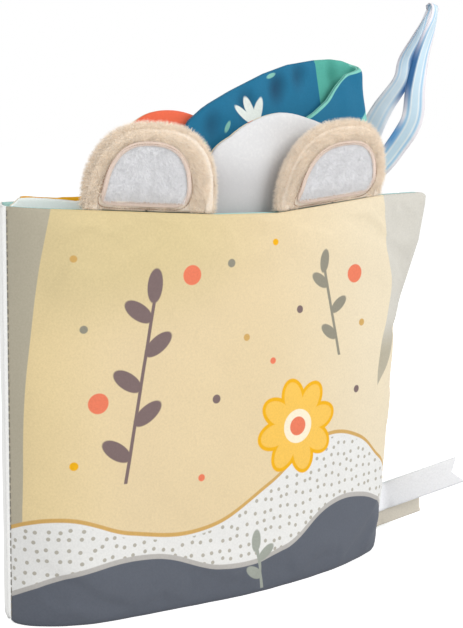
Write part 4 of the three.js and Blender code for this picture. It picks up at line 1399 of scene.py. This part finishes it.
# Their flat areas: a rectangle with half an ellipse, and for the teal leaf a mean height
leaf_flat = LEAF_END - leaf_root(2)[0]
DOME_FLAT_RADII = (46.0, 40.0)
dome_size = (leaf_flat, COVER_HEIGHT + DOME_FLAT_RADII[1])
dome_area = leaf_flat * (COVER_HEIGHT - LEAF_FOOT) + math.pi / 2 * math.prod(DOME_FLAT_RADII)
teal_size = (leaf_flat + roll_length, COVER_HEIGHT + TEAL_RISE)
TEAL_MEAN_HEIGHT = 210.0
YELLOW_FLAT_HEIGHT = 181.0
for name, pieces, front, rear, slots, flat, area in (
    ("white_leaf", white_leaf, white_cotton, cream_cotton, ("white_cotton", "white_cotton"),
     dome_size, dome_area),
    ("teal_leaf", teal_leaf, teal_cotton, teal_back_cotton, ("teal_cotton", "teal_cotton"),
     teal_size, leaf_flat * TEAL_MEAN_HEIGHT),
    ("coral_leaf", coral_leaf, coral_cotton, cream_cotton, ("coral_cotton", "cream_cotton"),
     dome_size, dome_area),
    ("yellow_leaf", yellow_leaf, yellow_cotton, cream_cotton, ("yellow_cotton", "cream_cotton"),
     (leaf_flat, YELLOW_FLAT_HEIGHT), None),
):
    body = "spine" if name == "teal_leaf" else name
    sewn(pieces["front"], f"{name}_front", body, slots[0], front)
    sewn(pieces["rear"], f"{name}_rear", body, slots[1], rear)
    sewn(pieces["film"], f"{name}_film", body, "crinkle_film", film_finish)
stuffed(white_leaf["wadding"], "white_leaf_wadding", "white_leaf")


# Ears take their plush

PATCH_ROOM = 0.06
PATCH_STEP = 2.0
PILE_SLANT = 0.3
PILE_RADIUS = 0.1
PILE_TUFT = 1.2


def nap_of(name, places, faces, body, slot, *growth):
    """Pile that moves with a body. Growth is what the pile function takes after the faces."""
    nap = pile(name, places, faces, *growth)
    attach(nap, body)


def build_ear(side, seed):
    body = f"{side}_ear"
    matrix = ear_matrix(side)
    turn = np.array(matrix.to_3x3())
    shape = EAR_SHAPES[side]
    slant, aside, middle, wide, high = shape
    for face, profile, way, shift in (("front", EAR_FRONT, -1, aside), ("back", EAR_BACK, 1, 0.0)):
        outer = ear_surface(profile, slant, shift, seed + way)
        inner = outer.copy()
        inner[..., 1] -= way * PLUSH_CLOTH
        leaning = slant * inner[..., 2]
        inner[..., 0] = (inner[..., 0] - leaning) * PLUSH_SHRINK + leaning
        inner[..., 2] *= PLUSH_SHRINK
        pair = (outer, inner) if way < 0 else (inner, outer)
        cloth = slab(f"{body}_{face}_plush", moved(np.stack(pair), matrix), outer[..., (0, 2)])
        sewn(cloth, f"{body}_{face}", body, "beige_plush", ear_plush)
        faces = np.array(grid_faces(*outer.shape[:2]))
        points = outer.reshape(-1, 3)
        centres = points[faces].mean(axis=1)
        height = centres[:, 2]
        rings = np.arange(len(faces)) % (outer.shape[1] - 1)
        groove = (rings < EAR_GROOVE_RINGS) & (height > EAR_FOLD)
        bare, foot, low = (np.zeros(len(faces), bool) for _ in range(3))
        if way < 0:
            over = height - PATCH_FOOT + PATCH_STEP
            span = (wide + PATCH_ROOM, high + PATCH_ROOM - PATCH_FOOT / EAR_HEIGHT)
            size = ear_size(centres[:, 0] - middle - slant * height, over, span)
            bare = ((size <= 1) & (over >= 0)) | (height < EAR_SEAM)
            # The pile lies short where the ear folds against the cover
            low = (height < EAR_FOLD) & (rings >= EAR_WALL_RINGS)
            foot = low & (height < EAR_FOLD / 2)
        else:
            faces = faces[:, ::-1]
        comb = tuple(turn @ np.array([0.0, 0.0, -PILE_SLANT]))
        for nap, zone, density, length, material in (
            (f"{face}_nap", ~groove & ~low, 9.0, 2.3, ear_nap),
            # The groove nap is shorter, and darker by painted shade
            (f"{face}_groove_nap", groove, 12.0, 1.1, groove_shade_nap),
            ("low_nap", low & ~foot, 11.0, 1.5, ear_nap),
            ("foot_nap", foot, 13.0, 0.9, ear_nap),
        ):
            chosen = faces[zone & ~bare]
            if len(chosen):
                nap_of(
                    f"{body}_{nap}", moved(points, matrix), chosen.tolist(), body, "beige_plush",
                    density, length, PILE_RADIUS, comb, PILE_TUFT, seed, material,
                )
    a, s = np.meshgrid(np.linspace(1.0, 0.0, 61), np.linspace(1.0, 0.02, 20), indexing="ij")
    x, z = patch_places(shape, a, s)
    front = vec(x, front_depth(x, z, slant, aside) - PATCH_LIFT, z)
    rear = front + np.array([0.0, 1.0, 0.0])
    patch = slab(f"{body}_patch_cloth", moved(np.stack([front, rear]), matrix), front[..., (0, 2)])
    sewn(patch, f"{body}_patch", body, "pale_plush", patch_plush)
    comb = tuple(turn @ np.array([0.15, 0.0, -0.5]))
    nap_of(f"{body}_patch_nap", moved(front.reshape(-1, 3), matrix), grid_faces(*a.shape), body,
           "pale_plush", 15.0, 1.2, 0.09, comb, 1.3, seed + 5, patch_nap)
    facing = tuple(turn @ np.array([0.0, -1.0, 0.0]))
    for line, grow, lift, pitch, length, radius, colour, across in (
        ("satin_border", 0.03, 0.9, 0.45, 2.0, 0.27, border_thread, 1.0),
        ("outline_stitches", 0.085, 1.0, 1.2, 0.8, 0.2, brown_thread, 0.0),
    ):
        loop = moved(patch_loop(shape, grow, lift), matrix)
        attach(stitches(f"{body}_{line}", loop, pitch, length, radius, colour, face=facing,
                         across=across, closed=True), body)
    a, s = np.meshgrid(np.linspace(1.0, 0.0, 41), np.linspace(0.8, 0.02, 14), indexing="ij")
    x, z = ear_rim(a, s, slant)
    z = z * 0.98 + 0.6
    plump = np.sqrt(np.clip(1 - (s / 0.81) ** 2, 0.0, 1.0)) * ear_base(z, 0.2)
    core = np.stack([
        vec(x, EAR_SEAM_Y + 0.6 - 1.6 * plump, z),
        vec(x, EAR_SEAM_Y + 0.9 + 4.2 * plump, z),
    ])
    filling = slab(f"{body}_filling_pad", moved(core, matrix), core[0][..., (0, 2)])
    stuffed(filling, f"{body}_filling", body)


build_ear("left", 71)
build_ear("right", 81)


# Ribbon loop and labels

def strip_object(name, route, widths, across, thickness, crown=0.0, pinch=0.0):
    """A flat strip along a route. Across lists places over its width, crown bows it, and pinch
    narrows it."""
    ahead = np.gradient(route, axis=0)
    ahead /= np.linalg.norm(ahead, axis=1, keepdims=True)
    normal = np.cross(ahead, widths)
    normal /= np.linalg.norm(normal, axis=1, keepdims=True)
    up = np.cross(normal, ahead)
    length = np.concatenate([[0.0], np.cumsum(np.linalg.norm(np.diff(route, axis=0), axis=1))])
    across = np.asarray(across, float)
    pinch = np.broadcast_to(pinch, len(route))[:, None]
    bow = (crown + 3.5 * pinch) * (1 - (2 * across / np.ptp(across)) ** 2)
    wide = across * (1 - pinch)
    middle = route[:, None] + up[:, None] * wide[..., None] + normal[:, None] * bow[..., None]
    faces = np.stack([middle + side * normal[:, None] * thickness / 2 for side in (1, -1)])
    flat = np.stack(np.broadcast_arrays(length[:, None], across[None, :]), axis=-1)
    return slab(name, faces, flat), length[-1]


ribbon_foot = np.array([
    BACK_START + BACK_LENGTH - RIBBON_FROM_EDGE, BACK_Y, COVER_HEIGHT + RIBBON_FOOT_LIFT])
ribbon_points = ribbon_foot + np.array(RIBBON_ROUTE) * (1, 1, RIBBON_HEIGHT)
ribbon_line = refined(ribbon_points, RIBBON_STEPS, 3)
ribbon_share = (ribbon_line[:, 2] - ribbon_foot[2]) / RIBBON_HEIGHT
ribbon_turn = np.radians(np.interp(ribbon_share, *RIBBON_TURNS))
ribbon_way = vec(np.cos(ribbon_turn), np.sin(ribbon_turn), np.zeros(RIBBON_STEPS))
ribbon, ribbon_length = strip_object(
    "ribbon_loop_satin", ribbon_line, ribbon_way,
    np.linspace(-RIBBON_WIDTH / 2, RIBBON_WIDTH / 2, 15), RIBBON_SATIN, crown=0.5,
    pinch=0.3 * ease((ribbon_share - 0.84) / 0.16),
)
sewn(ribbon, "ribbon_loop", "ribbon_loop", "blue_satin", satin(ribbon_length))


def label_route(height, length, turn, sideways, climb, count):
    """The line that a label follows out of the front cover's free edge."""
    x, y, heading = (float(k[0]) for k in cover_line(np.array([COVER_LENGTH]), np.array([height])))
    rear = np.array([-math.sin(heading), math.cos(heading), 0.0])
    out = np.array([math.cos(heading), math.sin(heading), 0.0])
    start = np.array([x, y, height]) + rear * sideways + out * LABEL_ROOT_GAP
    run = np.linspace(0.0, length, count)
    way = heading + (math.radians(turn) - heading) * np.clip(run / LABEL_BEND, 0.0, 1.0)
    step = np.diff(run, prepend=0.0)
    return vec(
        start[0] + np.cumsum(step * np.cos(way)),
        start[1] + np.cumsum(step * np.sin(way)),
        height + climb * np.clip(run - LABEL_BEND / 2, 0.0, None),
    )


def label(name, node, route, half, material, slot, notch=0.0, notch_steps=6):
    """A label of tape. The notch cuts a swallow tail into its end."""
    upright = np.broadcast_to([0.0, 0.0, 1.0], route.shape)
    across = np.linspace(-half, half, 13)
    piece, length = strip_object(name, route, upright, across, LABEL_TAPE, crown=0.15)
    if notch:
        count = len(route)
        ahead = Vector(route[-1] - route[-2]).normalized() * MM
        for side in range(2):
            for j, place in enumerate(across):
                for back in range(notch_steps):
                    number = (side * count + count - 1 - back) * len(across) + j
                    share = (1 - back / notch_steps) * notch * (1 - abs(place) / half)
                    piece.data.vertices[number].co -= ahead * share
    sewn(piece, node, node, slot, material)


white_route = label_route(
    height=17.0, length=47.0, turn=-35.0, sideways=-LABEL_OFFSET, climb=0.38, count=60)
label("white_label_satin", "white_label", white_route, WHITE_LABEL_HALF, label_white,
      "label_satin", notch=5.0)
beige_route = label_route(
    height=6.6, length=30.0, turn=-20.0, sideways=LABEL_OFFSET, climb=0.29, count=40)
beige_ahead = np.gradient(beige_route, axis=0)
beige_side = vec(-beige_ahead[:, 1], beige_ahead[:, 0], np.zeros(len(beige_route)))
beige_side *= LABEL_FOLD / np.linalg.norm(beige_side, axis=1, keepdims=True)
beige_end = beige_route[-1] + beige_ahead[-1] / np.linalg.norm(beige_ahead[-1]) * LABEL_FOLD
beige_fold = np.concatenate([
    beige_route - beige_side, beige_end[None], (beige_route + beige_side)[::-1]])
label("beige_label_tape", "beige_label", beige_fold, BEIGE_LABEL_HALF, label_beige, "label_tape")


# Seam stitches

seam_v = np.linspace(4.0, COVER_HEIGHT - 3.0, 120)
for side, surface, u, out, radius in (
    ("front", front_surface, 3.2, -1.7, 0.25), ("back", back_surface, 3.0, 1.75, 0.32),
):
    place, normal = surface(np.full_like(seam_v, u), seam_v)
    seam = stitches(
        f"{side}_spine_stitches", place + normal * out, pitch=3.4, length=2.3, radius=radius,
        thread=dark_thread,
    )
    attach(seam, f"{side}_cover")


# Floor, light and camera

def stage_floor():
    corners = 6.0 * np.array([(-1, -1, 0), (1, -1, 0), (1, 1, 0), (-1, 1, 0)])
    floor = mesh_object("floor", corners, [], [(0, 1, 2, 3)])
    material = bpy.data.materials.new("floor_white")
    material.use_nodes = True
    tree = material.node_tree
    shader = tree.nodes["Principled BSDF"]
    for key, value in (
        ("Base Color", (0.93, 0.93, 0.93, 1)), ("Roughness", 1.0), ("Specular IOR Level", 0.0),
    ):
        shader.inputs[key].default_value = value
    seen = add(tree, "ShaderNodeLightPath").outputs["Is Camera Ray"]
    faint = add(tree, "ShaderNodeMath", {0: seen, 1: 0.55}, operation="MULTIPLY")
    glow = add(tree, "ShaderNodeEmission", {"Color": (1, 1, 1, 1), "Strength": faint})
    lit = add(tree, "ShaderNodeAddShader", {0: shader, 1: glow})
    tree.links.new(lit.outputs[0], tree.nodes["Material Output"].inputs["Surface"])
    dress(floor, material)


def area_light(name, place, aim, size, power):
    data = bpy.data.lights.new(name, "AREA")
    data.size = size
    data.energy = power
    light = in_scene(name, data)
    light.location = place
    way = Vector(aim) - Vector(place)
    light.rotation_euler = way.to_track_quat("-Z", "Y").to_euler()


def stage_light():
    world = bpy.data.worlds.new("studio")
    world.use_nodes = True
    bpy.context.scene.world = world
    tree = world.node_tree
    sky = tree.nodes["Background"]
    sky.inputs["Color"].default_value = (1, 1, 1, 1)
    sky.inputs["Strength"].default_value = 0.5
    path = add(tree, "ShaderNodeLightPath").outputs
    seen = path["Is Camera Ray"]
    for ray in ("Is Glossy Ray", "Is Transmission Ray"):
        seen = add(tree, "ShaderNodeMath", {0: seen, 1: path[ray]}, operation="ADD")
    white = add(tree, "ShaderNodeBackground", {"Color": (1, 1, 1, 1), "Strength": 1.0})
    mix = add(tree, "ShaderNodeMixShader", {0: seen, 1: sky, 2: white})
    tree.links.new(mix.outputs[0], tree.nodes["World Output"].inputs["Surface"])
    middle = (0.0, 0.0, 0.12)
    area_light("key", (0.95, -1.2, 1.15), middle, size=1.1, power=20)
    area_light("fill", (-1.3, -0.6, 0.85), middle, size=1.3, power=8)


def stage_camera():
    data = bpy.data.cameras.new("camera")
    camera = in_scene("camera", data)
    camera.location = (np.array(CAMERA_PLACE) + FRAME_SHIFT) * MM
    tilt = math.radians(CAMERA_TILT)
    camera.rotation_euler = (math.pi / 2 - tilt, 0.0, math.radians(CAMERA_TURN))
    data.sensor_fit = "HORIZONTAL"
    data.sensor_width = 36.0
    data.lens = 36.0 * CAMERA_FOCUS / IMAGE_WIDTH
    middle_row = HORIZON_ROW + CAMERA_FOCUS * math.tan(tilt)
    data.shift_y = -(IMAGE_HEIGHT / 2 - middle_row) / IMAGE_WIDTH
    data.clip_end = 100.0
    bpy.context.scene.camera = camera


stage_floor()
stage_light()
stage_camera()
bpy.context.scene.view_settings.view_transform = "Standard"
